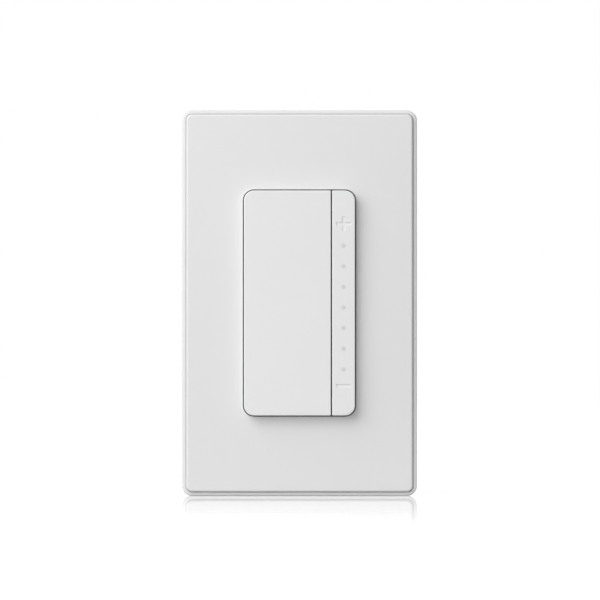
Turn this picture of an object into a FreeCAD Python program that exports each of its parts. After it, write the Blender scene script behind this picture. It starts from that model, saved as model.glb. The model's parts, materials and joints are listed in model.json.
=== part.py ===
import FreeCAD, Part
import math
import os
import re

import Sketcher

# Smart dimmer switch in a one-gang screwless wall plate.
# The origin is the middle of the plate on the wall: +X right, +Z up, and the front faces -Y.
# Every place is given as across (X), up (Z) and out (from the wall towards the room, -Y).
# What lies behind the wall has a negative out.

SIZES = [
    ("plate_wide", 69.6, "wall plate, across"),
    ("plate_end", 3.95, "wall plate past the yoke, at each end"),
    ("plate_corner", 3.0, "corner radius of the wall plate"),
    ("rim_wall", 1.6, "side wall of the sub-plate"),
    ("rim_out", 3.4, "front of the sub-plate's web, out from the wall"),
    ("rim_round", 0.5, "round on the sub-plate's front edges"),
    ("web_thick", 1.3, "web of the sub-plate"),
    ("web_gap", 0.5, "room between the web and the device's flange"),
    ("rib_thick", 1.2, "ribs behind the web"),
    ("rib_tall", 1.3, "depth of the ribs behind the web"),
    ("rib_up", 20.0, "height of the ribs behind the web"),
    ("ring_gap", 0.15, "room between the locating ring and the cover's wall"),
    ("ring_wall", 1.2, "locating ring on the sub-plate"),
    ("ring_tall", 1.0, "height of the locating ring"),
    ("ledge_wide", 1.2, "ledge of the sub-plate that shows round the cover"),
    ("ledge_step", 1.0, "the cover stands this far proud of the ledge"),
    ("nest_gap", 0.12, "shadow line between the ledge and the cover"),
    ("cover_lift", 0.1, "room between the web and the cover's wall"),
    ("cover_out", 6.2, "front of the cover, out from the wall"),
    ("cover_face", 1.6, "thickness of the cover's face"),
    ("cover_wall", 1.4, "side wall of the cover"),
    ("cover_corner", 1.8, "corner radius of the cover"),
    ("cover_round", 0.6, "round on the cover's front edge"),
    ("window_gap", 0.35, "gap between the paddles and the cover's window"),
    ("window_corner", 3.35, "corner radius of the cover's window"),
    ("pry_wide", 8.0, "slot in the lower edge where a driver lifts the cover off"),
    ("pry_tall", 0.9, "height of the slot"),
    ("snap_across", 27.5, "cover's snap hooks, from the middle"),
    ("snap_up", 44.0, "cover's snap hooks, above and below the middle"),
    ("snap_wide", 6.0, "width of a snap hook"),
    ("snap_thick", 1.2, "thickness of a snap hook"),
    ("snap_barb", 0.8, "reach of a snap hook's barb"),
    ("snap_barb_tall", 0.7, "height of a snap hook's barb"),
    ("snap_play", 0.1, "room between the barb and the web"),
    ("snap_room", 0.3, "room round a hook in its slot"),
    ("screw_apart", 6.74, "a plate screw from its wall-box screw"),
    ("plate_screw", 1.7, "radius of a plate screw"),
    ("plate_head", 3.0, "radius of a plate screw's head"),
    ("plate_sink", 1.5, "depth of a plate screw's countersink"),
    ("plate_head_sunk", 0.1, "a plate screw's head lies this far below the web"),
    ("plate_screw_back", 7.0, "reach of a plate screw behind the wall"),
    ("screw_room", 0.15, "room round a screw in its hole"),
    ("plate_boss", 3.3, "radius of the sub-plate's screw bosses"),
    ("box_screw_span", 83.34, "wall-box screws, centre to centre"),
    ("box_screw", 1.75, "radius of a wall-box screw"),
    ("box_neck", 1.5, "radius of a wall-box screw's neck in the yoke"),
    ("box_head", 3.2, "radius of a wall-box screw's head"),
    ("box_head_tall", 1.9, "height of a wall-box screw's head"),
    ("box_screw_back", 24.0, "reach of a wall-box screw behind the wall"),
    ("head_room", 0.2, "room round a wall-box screw's head in the web"),
    ("yoke_thick", 1.3, "sheet of the metal yoke"),
    ("yoke_side", 0.8, "middle of the yoke past the rear housing, at each side"),
    ("yoke_end", 1.0, "middle of the yoke past the flange, at each end"),
    ("yoke_corner", 3.0, "corner radius of the yoke"),
    ("strap_wide", 26.0, "end straps of the yoke, across"),
    ("strap_end", 4.79, "end straps past the plate screws"),
    ("ear_wide", 9.0, "plaster ears, across"),
    ("ear_tall", 9.0, "plaster ears, up"),
    ("ear_corner", 2.5, "corner radius of the plaster ears"),
    ("ear_notch", 0.9, "radius of the notches that an ear breaks off at"),
    ("ground_below", 6.5, "ground screw below the rear housing"),
    ("ground_tab_tall", 9.0, "ground tab, up"),
    ("ground_tab_back", 9.0, "ground tab, behind the wall"),
    ("ground_screw_back", 5.4, "ground screw, behind the wall"),
    ("ground_head", 3.4, "radius of the ground screw's head"),
    ("ground_head_tall", 2.2, "height of the ground screw's head"),
    ("ground_screw_long", 5.5, "ground screw past its tab"),
    ("side_screw", 1.75, "radius of the side screws"),
    ("flange_side", 3.55, "flange of the front frame past the paddles, at each side"),
    ("flange_end", 2.2, "flange of the front frame past the paddles, at each end"),
    ("flange_thick", 1.2, "flange of the front frame"),
    ("flange_corner", 3.0, "corner radius of the flange"),
    ("tub_inset", 0.1, "the frame's walls lie this far inside the paddles' outline"),
    ("tub_wall", 1.3, "walls of the front frame"),
    ("tub_out", 4.5, "front of the frame's walls, out from the wall"),
    ("block_wide", 32.9, "both paddles, across"),
    ("block_end", 8.37, "both paddles end this far from the wall-box screws"),
    ("block_corner", 3.0, "outer corner radius of the paddles"),
    ("bar_wide", 6.795, "level bar, across"),
    ("split_gap", 0.35, "gap between the paddles"),
    ("split_corner", 0.3, "corner radius of the paddles at the split"),
    ("face_out", 9.4, "front of the paddles, out from the wall"),
    ("face_back", 5.7, "back edge of the paddles, out from the wall"),
    ("face_thick", 1.4, "face of the paddles"),
    ("face_dish", 0.4, "hollow along the paddles' faces"),
    ("face_round", 0.3, "round on the paddles' front edges"),
    ("paddle_wall", 1.2, "side walls of the main paddle"),
    ("bar_wall", 1.1, "side walls of the level bar"),
    ("axle_out", 6.6, "hinge and pivot axes, out from the wall"),
    ("hinge_down", 3.1, "main paddle's hinge, from the top of the paddles"),
    ("hinge_pin", 0.9, "radius of the hinge pins"),
    ("pivot_pin", 0.8, "radius of the pivot pins"),
    ("pin_room", 0.05, "running clearance of pins and plungers"),
    ("pin_reach", 0.2, "the pins pass through their ears by this much"),
    ("lug_room", 1.7, "room between a hinge ear and the paddle's wall"),
    ("hinge_lug", 1.2, "thickness of the hinge ears"),
    ("pivot_lug", 0.9, "thickness of the pivot ears"),
    ("pivot_lug_room", 0.2, "room between a pivot ear and the bar's wall"),
    ("lug_half", 1.7, "half the height of an ear"),
    ("lug_out", 7.65, "front of the ears, out from the wall"),
    ("rib_wide", 0.9, "ribs inside the main paddle"),
    ("rib_deep", 1.1, "depth of the ribs inside the main paddle"),
    ("rib_apart", 18.5, "upright ribs, centre to centre"),
    ("rib_short", 7.8, "the upright ribs end this far from the paddles' ends"),
    ("cross_rib_at", -12.5, "height of the cross rib"),
    ("catch_apart", 15.0, "catches, centre to centre"),
    ("catch_wide", 3.0, "width of a catch"),
    ("catch_rise", 4.3, "upper face of the catches, from the bottom of the paddles"),
    ("catch_thick", 1.0, "thickness of a catch"),
    ("catch_barb", 0.7, "reach of a catch's barb"),
    ("catch_tip", 3.6, "tip of a catch, out from the wall"),
    ("catch_barb_tall", 1.0, "height of a catch's barb"),
    ("catch_play", 0.1, "room between a barb and its lip"),
    ("lip_room", 0.2, "room between a catch and its lip"),
    ("lip_thick", 0.7, "thickness of the lips"),
    ("keeper_thick", 1.0, "thickness of the keepers"),
    ("spring_apart", 7.0, "return springs, centre to centre"),
    ("spring_rise", 6.3, "return springs, from the bottom of the paddles"),
    ("coil_radius", 1.6, "radius of the springs' turns"),
    ("coil_wire", 0.175, "radius of the springs' wire"),
    ("coil_turns", 5, "turns of a spring"),
    ("spring_stub", 1.1, "radius of the stubs that hold the springs"),
    ("stub_tall", 1.0, "height of the stubs that hold the springs"),
    ("boss_side", 2.4, "housing screws, from the flange's sides"),
    ("boss_end", 5.9, "housing screws, from the flange's ends"),
    ("frame_boss", 2.3, "radius of the frame's screw bosses"),
    ("frame_boss_out", 4.4, "front of the frame's screw bosses, out from the wall"),
    ("frame_boss_roof", 0.5, "closed front of the frame's screw bosses"),
    ("housing_screw", 1.25, "radius of a housing screw"),
    ("housing_screw_head", 2.3, "radius of a housing screw's head"),
    ("board_out", 3.4, "back of the control board, out from the wall"),
    ("board_thick", 1.2, "control board"),
    ("board_room", 0.35, "room between the control board and the walls"),
    ("board_drop", 5.9, "control board, from the top of the paddles"),
    ("board_rise", 5.1, "control board, from the bottom of the paddles"),
    ("board_step_side", 1.455, "the board's longer part passes the level bar by this much"),
    ("board_step_tall", 4.6, "the board's left part ends higher by this much"),
    ("post_boss", 2.0, "radius of the board's standoffs"),
    ("small_screw", 0.95, "radius of the board's screws"),
    ("small_head", 1.9, "radius of the board screws' heads"),
    ("small_head_tall", 1.0, "height of the board screws' heads"),
    ("post_side", 2.5, "left standoffs, from the board's side"),
    ("post_drop", 2.4, "upper standoffs, from the board's top"),
    ("post_rise", 4.6, "lower standoff, from the bottom of the board's left part"),
    ("post_b_at", 3.6, "right standoff, across"),
    ("press_up", -4.0, "main switch, up"),
    ("press_post", 1.5, "radius of the paddle's press post"),
    ("switch_wide", 6.2, "main switch, across and up"),
    ("switch_tall", 2.0, "height of the switches on the board"),
    ("main_plunger", 1.7, "radius of the main plunger"),
    ("main_plunger_out", 7.4, "tip of the main plunger, out from the wall"),
    ("main_plunger_long", 1.8, "length of the main plunger"),
    ("post_play", 0.03, "play between a post and its plunger"),
    ("level_end", 9.3, "level switches, from the paddles' ends"),
    ("level_post", 1.1, "radius of the level bar's posts"),
    ("level_wide", 3.2, "level switches, across"),
    ("level_tall", 6.0, "level switches, up"),
    ("level_plunger", 0.9, "radius of the level plungers"),
    ("level_plunger_out", 7.3, "tip of the level plungers, out from the wall"),
    ("level_plunger_long", 1.8, "length of the level plungers"),
    ("plunger_travel", 0.6, "room for a plunger behind its rest"),
    ("dot_count", 7, "level lights"),
    ("dot_end", 5.7, "end lights from the level switches, on average"),
    ("dot_shift", 1.36, "the lights lie this far below the middle"),
    ("dot_radius", 0.6, "radius of a light's hole"),
    ("dot_room", 0.03, "room round a light pin in its hole"),
    ("guide_wide", 1.6, "backbone of the light guide"),
    ("guide_thick", 0.8, "thickness of the light guide's backbone"),
    ("guide_over", 1.3, "the backbone passes the end lights by this much"),
    ("light_wide", 0.8, "a light on the board, across"),
    ("light_long", 1.6, "a light on the board, up"),
    ("light_tall", 0.8, "height of a light on the board"),
    ("baffle_wide", 2.0, "baffle round the lights, across"),
    ("baffle_over", 1.3, "the baffle passes the end lights by this much"),
    ("baffle_tall", 1.1, "height of the baffle"),
    ("baffle_room", 0.2, "room round a light in the baffle"),
    ("radio_at", -2.0, "wireless module, across"),
    ("radio_drop", 13.4, "wireless module, from the board's top"),
    ("radio_wide", 16.0, "wireless module across"),
    ("radio_tall", 16.0, "wireless module's height"),
    ("radio_thick", 0.8, "wireless module's board"),
    ("shield_wide", 13.0, "shield can, across"),
    ("shield_tall", 12.0, "shield can, up"),
    ("shield_out", 1.8, "height of the shield can"),
    ("shield_sheet", 0.2, "sheet of the shield can"),
    ("shield_round", 0.5, "round on the shield can"),
    ("antenna_room", 3.0, "strip of the module that the shield leaves free"),
    ("chip_at", 3.2, "driver chip, across"),
    ("chip_rise", 6.1, "driver chip, from the bottom of the board's left part"),
    ("chip_wide", 5.0, "driver chip across"),
    ("chip_tall", 0.9, "height of the driver chip"),
    ("chip_leg", 0.4, "width of a chip's leg"),
    ("chip_pitch", 1.0, "pitch of a chip's legs"),
    ("link_at", -4.5, "link header, across"),
    ("link_rise", 11.6, "link header, from the bottom of the board's left part"),
    ("link_wide", 12.7, "link header across"),
    ("link_tall", 2.5, "link header's height"),
    ("link_base", 2.5, "thickness of the link header's base"),
    ("link_pin", 0.64, "link pins, square"),
    ("link_pitch", 2.54, "pitch of the link pins"),
    ("link_pins", 5, "link pins"),
    ("link_back", 6.0, "reach of the link pins behind the wall"),
    ("link_room", 1.6, "room round the link in the yoke and the flange"),
    ("housing_side", 2.2, "rear housing past the flange, at each side"),
    ("housing_end", 1.5, "the flange passes the rear housing by this much, at each end"),
    ("housing_deep", 32.0, "rear housing, behind the yoke"),
    ("housing_wall", 2.0, "walls of the rear housing"),
    ("housing_corner", 3.0, "corner radius of the rear housing"),
    ("housing_round", 2.0, "round on the rear housing's back edge"),
    ("housing_boss", 2.9, "radius of the housing's screw bosses"),
    ("boss_sink", 2.2, "depth of the housing screws' counterbores"),
    ("bay_tall", 9.6, "terminal bays, up"),
    ("bay_front", 13.0, "front of the terminal bays, behind the wall"),
    ("bay_back", 24.0, "back of the terminal bays, behind the wall"),
    ("bay_deep", 4.2, "depth of the terminal bays"),
    ("bay_wall", 1.6, "walls round the terminal bays"),
    ("bay_up", 11.0, "terminal bays, above and below the middle"),
    ("bay_core", 3.2, "solid behind a terminal bay"),
    ("tray_room", 0.3, "room round the tray and the power board"),
    ("tray_thick", 0.8, "floor of the insulating tray"),
    ("tray_post", 2.0, "radius of the tray's posts"),
    ("power_out", 7.0, "front of the power board, behind the wall"),
    ("power_thick", 1.6, "power board"),
    ("pad_thick", 0.3, "thermal pads"),
    ("pad_wide", 11.0, "thermal pads, across"),
    ("pad_over", 0.5, "the pads pass the transistors by this much"),
    ("fet_at", 6.8, "power transistors, from the middle"),
    ("fet_low", 1.0, "lower end of the power transistors"),
    ("fet_wide", 10.0, "power transistors, across"),
    ("fet_body", 9.2, "moulded body of a power transistor, up"),
    ("fet_tall", 15.7, "power transistor with its tab"),
    ("fet_tab", 1.3, "tab of a power transistor"),
    ("fet_thick", 4.4, "thickness of a power transistor"),
    ("fet_hole_up", 13.9, "hole in a power transistor's tab"),
    ("fet_screw", 1.45, "radius of a power transistor's screw"),
    ("fet_screw_head", 2.7, "radius of its head"),
    ("fet_screw_head_tall", 2.0, "height of its head"),
    ("lead_thick", 0.7, "leads of the parts on the power board"),
    ("fet_lead_back", 2.7, "leads of a power transistor, behind the wall"),
    ("fet_lead_drop", 3.0, "bend of a power transistor's leads, below its body"),
    ("fet_room", 1.2, "room round a power transistor in the tray"),
    ("choke_side", 0.9, "room between the choke and its terminal bay"),
    ("choke_end", 3.3, "choke, from the end of its board"),
    ("choke_bore", 4.2, "bore radius of the choke's core"),
    ("choke_radius", 7.0, "radius of the choke's core"),
    ("choke_tall", 6.4, "height of the choke's core"),
    ("choke_wire", 0.9, "layer of wire on the choke"),
    ("choke_seat", 0.3, "the choke stands this far off its board"),
    ("choke_sweep", 150, "angle of each half of the winding"),
    ("can_at", 10.0, "bulk capacitor, across"),
    ("can_end", 3.1, "bulk capacitor, from the end of its board"),
    ("can_radius", 5.0, "radius of the bulk capacitor"),
    ("can_tall", 16.0, "height of the bulk capacitor"),
    ("can_groove", 0.4, "depth of its rolled groove"),
    ("film_side", 2.3, "room between the film capacitor and the terminal bay"),
    ("film_up", 5.5, "film capacitor, up"),
    ("film_wide", 6.0, "film capacitor across"),
    ("film_long", 13.0, "film capacitor's length"),
    ("film_tall", 12.0, "film capacitor's height"),
    ("film_round", 0.6, "round on the film capacitor"),
    ("core_room", 2.3, "room between the transformer and the terminal bay"),
    ("core_up", 2.0, "transformer, up"),
    ("core_wide", 13.0, "transformer's core across"),
    ("core_tall", 5.0, "transformer's core, up"),
    ("core_deep", 11.0, "transformer's core, from its board"),
    ("core_yoke", 2.2, "end legs of the core"),
    ("core_leg", 3.6, "middle leg of the core"),
    ("core_side", 2.0, "side legs of the core"),
    ("coil_over", 2.6, "the winding passes the core by this much"),
    ("coil_play", 0.15, "play of the winding on the core"),
    ("varistor_side", 3.1, "room between the surge varistor and the terminal bay"),
    ("varistor_up", -9.5, "surge varistor, up"),
    ("varistor_radius", 4.8, "radius of the surge varistor"),
    ("varistor_thick", 3.4, "thickness of the surge varistor"),
    ("fuse_at", -10.0, "line fuse, across"),
    ("fuse_up", -13.0, "line fuse, up"),
    ("fuse_radius", 4.2, "radius of the line fuse"),
    ("fuse_tall", 8.0, "height of the line fuse"),
    ("part_stand", 0.6, "parts with leads stand this far off the power board"),
    ("terminal_thick", 0.9, "brass of the terminals"),
    ("terminal_room", 0.5, "room round a terminal in its bay"),
    ("tail_wide", 3.0, "tail of a terminal"),
    ("clamp_gap", 0.2, "gap under a clamp plate"),
    ("clamp_side", 7.6, "clamp plates, square"),
    ("terminal_head", 3.6, "radius of a terminal screw's head"),
    ("terminal_head_tall", 2.1, "height of a terminal screw's head"),
    ("terminal_screw_long", 2.4, "reach of a terminal screw into the housing"),
    ("tip_room", 0.3, "room past the tip of a terminal screw"),
    ("seat_room", 0.1, "room past the ends of long screws and of the link's socket"),
]

# Places that follow from the sizes above, as expressions on them.
PLACES = {
    "plate_screw_span": "box_screw_span + 2*screw_apart",
    "yoke_span": "plate_screw_span + 2*strap_end",
    "plate_tall": "yoke_span + 2*plate_end",
    "block_tall": "box_screw_span - 2*block_end",
    "flange_wide": "block_wide + 2*flange_side",
    "flange_tall": "block_tall + 2*flange_end",
    "housing_wide": "flange_wide + 2*housing_side",
    "housing_tall": "flange_tall - 2*housing_end",
    "yoke_wide": "housing_wide + 2*yoke_side",
    "yoke_tall": "flange_tall + 2*yoke_end",
    "boss_across": "flange_wide/2 - boss_side",
    "boss_up": "flange_tall/2 - boss_end",
    "ground_up": "-(housing_tall/2 + ground_below)",
    "web_back": "rim_out - web_thick",
    "web_wide": "flange_wide + 2*web_gap",
    "web_tall": "flange_tall + 2*web_gap",
    "rim_inner_wide": "plate_wide - 2*rim_wall",
    "rim_inner_tall": "plate_tall - 2*rim_wall",
    "cover_back": "cover_out - cover_face",
    "cover_base": "rim_out + cover_lift",
    "cover_wide": "plate_wide - 2*ledge_wide",
    "cover_tall": "plate_tall - 2*ledge_wide",
    "ledge_out": "cover_out - ledge_step",
    "nest_wide": "cover_wide + 2*nest_gap",
    "nest_tall": "cover_tall + 2*nest_gap",
    "ring_wide": "cover_wide - 2*cover_wall - 2*ring_gap",
    "ring_high": "cover_tall - 2*cover_wall - 2*ring_gap",
    "window_wide": "block_wide + 2*window_gap",
    "window_tall": "block_tall + 2*window_gap",
    "barb_top": "web_back - snap_play",
    "barb_low": "web_back - snap_play - snap_barb_tall",
    "plate_screw_up": "plate_screw_span/2",
    "box_screw_up": "box_screw_span/2",
    "flange_out": "yoke_thick + flange_thick",
    "tub_wide": "block_wide - 2*tub_inset",
    "tub_tall": "block_tall - 2*tub_inset",
    "face_inner": "face_out - face_thick",
    "paddle_left": "-block_wide/2",
    "paddle_right": "split_at - split_gap/2",
    "paddle_wide": "(paddle_right - paddle_left)",
    "paddle_mid": "(paddle_right + paddle_left)/2",
    "bar_left": "split_at + split_gap/2",
    "bar_right": "block_wide/2",
    "bar_mid": "(bar_right + bar_left)/2",
    "split_at": "block_wide/2 - bar_wide - split_gap/2",
    "hinge_up": "block_tall/2 - hinge_down",
    "left_rib_at": "paddle_mid - rib_apart/2",
    "right_rib_at": "paddle_mid + rib_apart/2",
    "rib_end": "block_tall/2 - rib_short",
    "catch_left": "paddle_mid - catch_apart/2",
    "catch_right": "paddle_mid + catch_apart/2",
    "catch_up": "-(block_tall/2 - catch_rise)",
    "spring_left": "paddle_mid - spring_apart/2",
    "spring_right": "paddle_mid + spring_apart/2",
    "spring_up": "-(block_tall/2 - spring_rise)",
    "press_at": "paddle_mid",
    "level_up": "block_tall/2 - level_end",
    "hinge_lug_left": "paddle_left + paddle_wall + lug_room",
    "hinge_lug_right": "paddle_right - paddle_wall - lug_room - hinge_lug",
    "pivot_lug_left": "bar_left + bar_wall + pivot_lug_room",
    "pivot_lug_right": "bar_right - bar_wall - pivot_lug_room - pivot_lug",
    "dish_radius": "((block_tall/2)^2 + face_dish^2)/(2*face_dish)",
    "dish_centre": "face_out - face_dish + dish_radius",
    "dot_middle": "-dot_shift",
    "dot_span": "2*(level_up - dot_end)",
    "dot_pitch": "dot_span/(dot_count - 1)",
    "dot_top": "dot_middle + dot_span/2",
    "board_front": "board_out + board_thick",
    "switch_out": "board_front + switch_tall",
    "lip_under": "catch_tip + catch_barb_tall + catch_play",
    "catch_low": "catch_up - catch_thick",
    "board_side": "tub_wide/2 - tub_wall - board_room",
    "board_top": "block_tall/2 - board_drop",
    "board_bottom": "-(block_tall/2 - board_rise)",
    "board_step_at": "bar_left - board_step_side",
    "board_step_up": "board_bottom + board_step_tall",
    "post_a_at": "-(board_side - post_side)",
    "post_a_up": "board_top - post_drop",
    "post_b_up": "board_top - post_drop",
    "post_c_at": "-(board_side - post_side)",
    "post_c_up": "board_step_up + post_rise",
    "radio_up": "board_top - radio_drop",
    "chip_up": "board_step_up + chip_rise",
    "link_up": "board_step_up + link_rise",
    "bay_floor": "housing_wide/2 - bay_deep",
    "bay_middle": "(bay_front + bay_back)/2",
    "bay_long": "bay_back - bay_front",
    "power_back": "power_out + power_thick",
    "board_wide": "housing_wide - 2*housing_wall - 2*tray_room",
    "board_tall": "housing_tall - 2*housing_wall - 2*tray_room",
    "bay_inner": "bay_floor - bay_core",
    "choke_at": "-(bay_inner - choke_side - choke_wire - choke_radius)",
    "choke_up": "board_tall/2 - choke_end - choke_wire - choke_radius",
    "can_up": "board_tall/2 - can_end - can_radius",
    "film_at": "bay_inner - film_side - film_wide/2",
    "core_at": "-(bay_inner - core_room - core_wide/2)",
    "varistor_at": "bay_inner - varistor_side - varistor_thick/2",
    "clamp_at": "bay_floor + terminal_thick + clamp_gap",
    "terminal_head_at": "bay_floor + 2*terminal_thick + clamp_gap",
    "ground_tab_at": "-(strap_wide/2 - yoke_thick)",
}

ALIASES = [name for name, number, note in SIZES]
PLANES = {"front": "XZ_Plane", "side": "YZ_Plane", "floor": "XY_Plane"}
Z = FreeCAD.Vector(0, 0, 1)

doc = FreeCAD.newDocument("dimmer_switch")
sheet = doc.addObject("Spreadsheet::Sheet", "sizes")
for row, (name, number, note) in enumerate(SIZES, start=1):
    sheet.set(f"A{row}", note)
    sheet.set(f"B{row}", str(number))
    sheet.setAlias(f"B{row}", name)
doc.recompute()

nodes = []


def bind(text):
    """An expression on plain size names, as references to the sheet."""
    def reference(found):
        word = found.group(0)
        if word in PLACES:
            return "(" + bind(PLACES[word]) + ")"
        return "sizes." + word if word in ALIASES else word
    return re.sub(r"[a-z][a-z_]*", reference, text)


def value(text):
    """What such an expression comes to."""
    return float(sheet.evalExpression(bind(text)))


def count(text):
    return int(round(value(text)))


class Drawing:
    """The loops of one sketch. Places are across and up in the sketch's own plane."""

    def __init__(self):
        self.items, self.rules, self.bound = [], [], {}

    def rule(self, text, *parts):
        if text is not None:
            parts = (*parts, value(text))
            self.bound[len(self.rules)] = text
        self.rules.append(Sketcher.Constraint(*parts))

    def hold(self, item, end, across=None, up=None):
        for kind, axis, text in (("DistanceX", -2, across), ("DistanceY", -1, up)):
            if text == "0":
                self.rule(None, "PointOnObject", item, end, axis)
            elif text is not None:
                self.rule(text, kind, -1, 1, item, end)

    def add(self, item):
        self.items.append(item)
        return len(self.items) - 1

    def disc(self, radius, across, up):
        middle = FreeCAD.Vector(value(across), value(up), 0)
        item = self.add(Part.Circle(middle, Z, value(radius)))
        self.rule(radius, "Radius", item)
        self.hold(item, 3, across, up)

    def path(self, points):
        ends = [FreeCAD.Vector(value(a), value(u), 0) for a, u in points]
        first = len(self.items)
        for start, end in zip(ends, ends[1:] + ends[:1]):
            self.add(Part.LineSegment(start, end))
        for i, (across, up) in enumerate(points):
            after = first + (i + 1) % len(points)
            self.rule(None, "Coincident", first + i, 2, after, 1)
            self.hold(first + i, 1, across, up)

    def rect(self, wide, tall, across, up, corners):
        """A rectangle with the corner radii lower right, upper right, upper left, lower left."""
        edges = [f"({up}) - ({tall})/2", f"({across}) + ({wide})/2",
                 f"({up}) + ({tall})/2", f"({across}) - ({wide})/2"]
        low, right, high, left = (value(edge) for edge in edges)
        spots = [(right, low), (right, high), (left, high), (left, low)]
        ways = [(1, 0), (0, 1), (-1, 0), (0, -1)]
        radii = [value(corner) if corner else 0.0 for corner in corners]
        lines, arcs = [], []
        for i, (way, spot) in enumerate(zip(ways, spots)):
            before, trim, cut = spots[i - 1], radii[i - 1], radii[i]
            start = FreeCAD.Vector(before[0] + way[0] * trim, before[1] + way[1] * trim, 0)
            end = FreeCAD.Vector(spot[0] - way[0] * cut, spot[1] - way[1] * cut, 0)
            lines.append(self.add(Part.LineSegment(start, end)))
            after = ways[(i + 1) % 4]
            middle = FreeCAD.Vector(end.x + after[0] * cut, end.y + after[1] * cut, 0)
            turn = math.radians(90 * i - 90)
            circle = Part.Circle(middle, Z, cut) if cut else None
            arcs.append(self.add(Part.ArcOfCircle(circle, turn, turn + math.pi / 2)) if cut else None)
        for i, (line, arc, corner) in enumerate(zip(lines, arcs, corners)):
            after = lines[(i + 1) % 4]
            self.rule(None, ("Vertical" if i % 2 else "Horizontal"), line)
            self.hold(line, 1, **{("across" if i % 2 else "up"): edges[i]})
            if arc is None:
                self.rule(None, "Coincident", line, 2, after, 1)
                continue
            self.rule(None, "Tangent", line, 2, arc, 1)
            self.rule(None, "Tangent", arc, 2, after, 1)
            self.rule(corner, "Radius", arc)


def disc(radius, across="0", up="0"):
    return lambda drawing, place: drawing.disc(radius, *place(across, up))


def rect(wide, tall, across="0", up="0", corner=None, corners=None):
    four = corners or (corner,) * 4
    return lambda drawing, place: drawing.rect(wide, tall, *place(across, up), four)


def path(*points):
    return lambda drawing, place: drawing.path([place(*point) for point in points])


# How a place in each plane is drawn in its sketch: the side view is (out, up), the floor (across, out).
DRAWN = {
    "front": lambda across, up: (across, up),
    "side": lambda out, up: (f"-({out})", up),
    "floor": lambda across, out: (across, f"-({out})"),
}


def flat_at(out):
    """Tests whether an edge lies wholly at one distance out from the wall."""
    level = -value(out)
    return lambda edge: abs(edge.BoundBox.YMin - level) < 1e-4 and abs(edge.BoundBox.YMax - level) < 1e-4


class Piece:
    """One sub-part: a body whose sketches lie parallel to the wall, the side or the floor."""

    def __init__(self, label):
        self.label = label
        self.body = doc.addObject("PartDesign::Body", label)
        self.body.Label = label
        self.body.AllowCompound = True
        self.tip = None
        nodes.append(self.body)

    def name(self, kind):
        return f"{self.label}_{kind}"

    def sketch(self, plane, level, loops, centre=("0", "0")):
        sketch = self.body.newObject("Sketcher::SketchObject", self.name("sketch"))
        support = [f for f in self.body.Origin.OriginFeatures if f.Role == PLANES[plane]][0]
        sketch.AttachmentSupport = [(support, "")]
        sketch.MapMode = "FlatFace"
        for axis, text in zip("xyz", (*DRAWN[plane](*centre), level)):
            if text not in ("0", "-(0)"):
                sketch.setExpression(f"AttachmentOffset.Base.{axis}", bind(text))
        drawing = Drawing()
        for loop in loops:
            loop(drawing, DRAWN[plane])
        sketch.addGeometry(drawing.items, False)
        sketch.addConstraint(drawing.rules)
        for number, text in drawing.bound.items():
            sketch.renameConstraint(number, f"size{number}")
            sketch.setExpression(f"Constraints.size{number}", bind(text))
        return sketch

    def feature(self, kind, sketch, **bound):
        feature = self.body.newObject(f"PartDesign::{kind}", self.name(kind.lower()))
        feature.Profile = sketch
        for prop, text in bound.items():
            feature.setExpression(prop, bind(text))
        self.tip = feature
        return feature

    def pad(self, plane, level, deep, *loops):
        """Adds a solid from the plane's level towards the room, to the right or upwards."""
        return self.feature("Pad", self.sketch(plane, level, loops), Length=deep)

    def pocket(self, plane, level, deep, *loops):
        """Cuts from the plane's level towards the wall, to the left or downwards."""
        doc.recompute()
        before = self.tip.Shape.Volume
        feature = self.feature("Pocket", self.sketch(plane, level, loops), Length=deep)
        doc.recompute()
        if not feature.Shape.Volume < before - 1e-6:
            raise RuntimeError(f"{feature.Name} cuts nothing")
        return feature

    def turn(self, plane, points, centre, level, cut=False, angle="360", loops=()):
        """Turns a profile round an axis that points out (plane side) or across (plane front)."""
        sketch = self.sketch(plane, level, (path(*points), *loops), centre)
        kind = "Groove" if cut else "Revolution"
        feature = self.feature(kind, sketch, Angle=angle)
        feature.ReferenceAxis = (sketch, ["H_Axis"])
        return feature

    def turn_out(self, points, across, up, cut=False):
        """Turns points (out, radius) round an axis square to the wall."""
        return self.turn("side", points, ("0", up), across, cut)

    def turn_across(self, points, up, out, cut=False):
        """Turns points (across, radius) round a level axis along the wall."""
        return self.turn("front", points, ("0", up), out, cut)

    def edges(self, test):
        doc.recompute()
        return [f"Edge{i}" for i, edge in enumerate(self.tip.Shape.Edges, start=1) if test(edge)]

    def round_edges(self, radius, test):
        return self.dress("Fillet", "Radius", radius, test)

    def bevel_edges(self, size, test):
        return self.dress("Chamfer", "Size", size, test)

    def dress(self, kind, prop, size, test):
        names = self.edges(test)
        if not names:
            raise RuntimeError(f"{self.label} has no edge for its {kind.lower()}")
        feature = self.body.newObject(f"PartDesign::{kind}", self.name(kind.lower()))
        feature.Base = (self.tip, names)
        feature.setExpression(prop, bind(size))
        self.tip = feature
        return feature


def primitive(kind, label, sizes, across="0", up="0", out="0"):
    """A primitive with its sizes and its place bound to the sheet."""
    item = doc.addObject(f"Part::{kind}", label)
    for prop, text in sizes.items():
        item.setExpression(prop, bind(text))
    for axis, text in (("x", across), ("y", f"-({out})"), ("z", up)):
        item.setExpression(f"Placement.Base.{axis}", bind(text))
    return item


def block(label, wide, tall, deep, across, up, back):
    """A box centred on across and up, from back towards the room."""
    sizes = {"Length": wide, "Width": deep, "Height": tall}
    return primitive("Box", label, sizes, f"({across}) - ({wide})/2", f"({up}) - ({tall})/2",
                     f"({back}) + ({deep})")


def group(label, items):
    """Separate solids that share one node."""
    node = doc.addObject("Part::Compound", label)
    node.Label = label
    node.Links = items
    nodes.append(node)
    return node


def signed(sign, text):
    return text if sign > 0 else f"-({text})"


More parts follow.
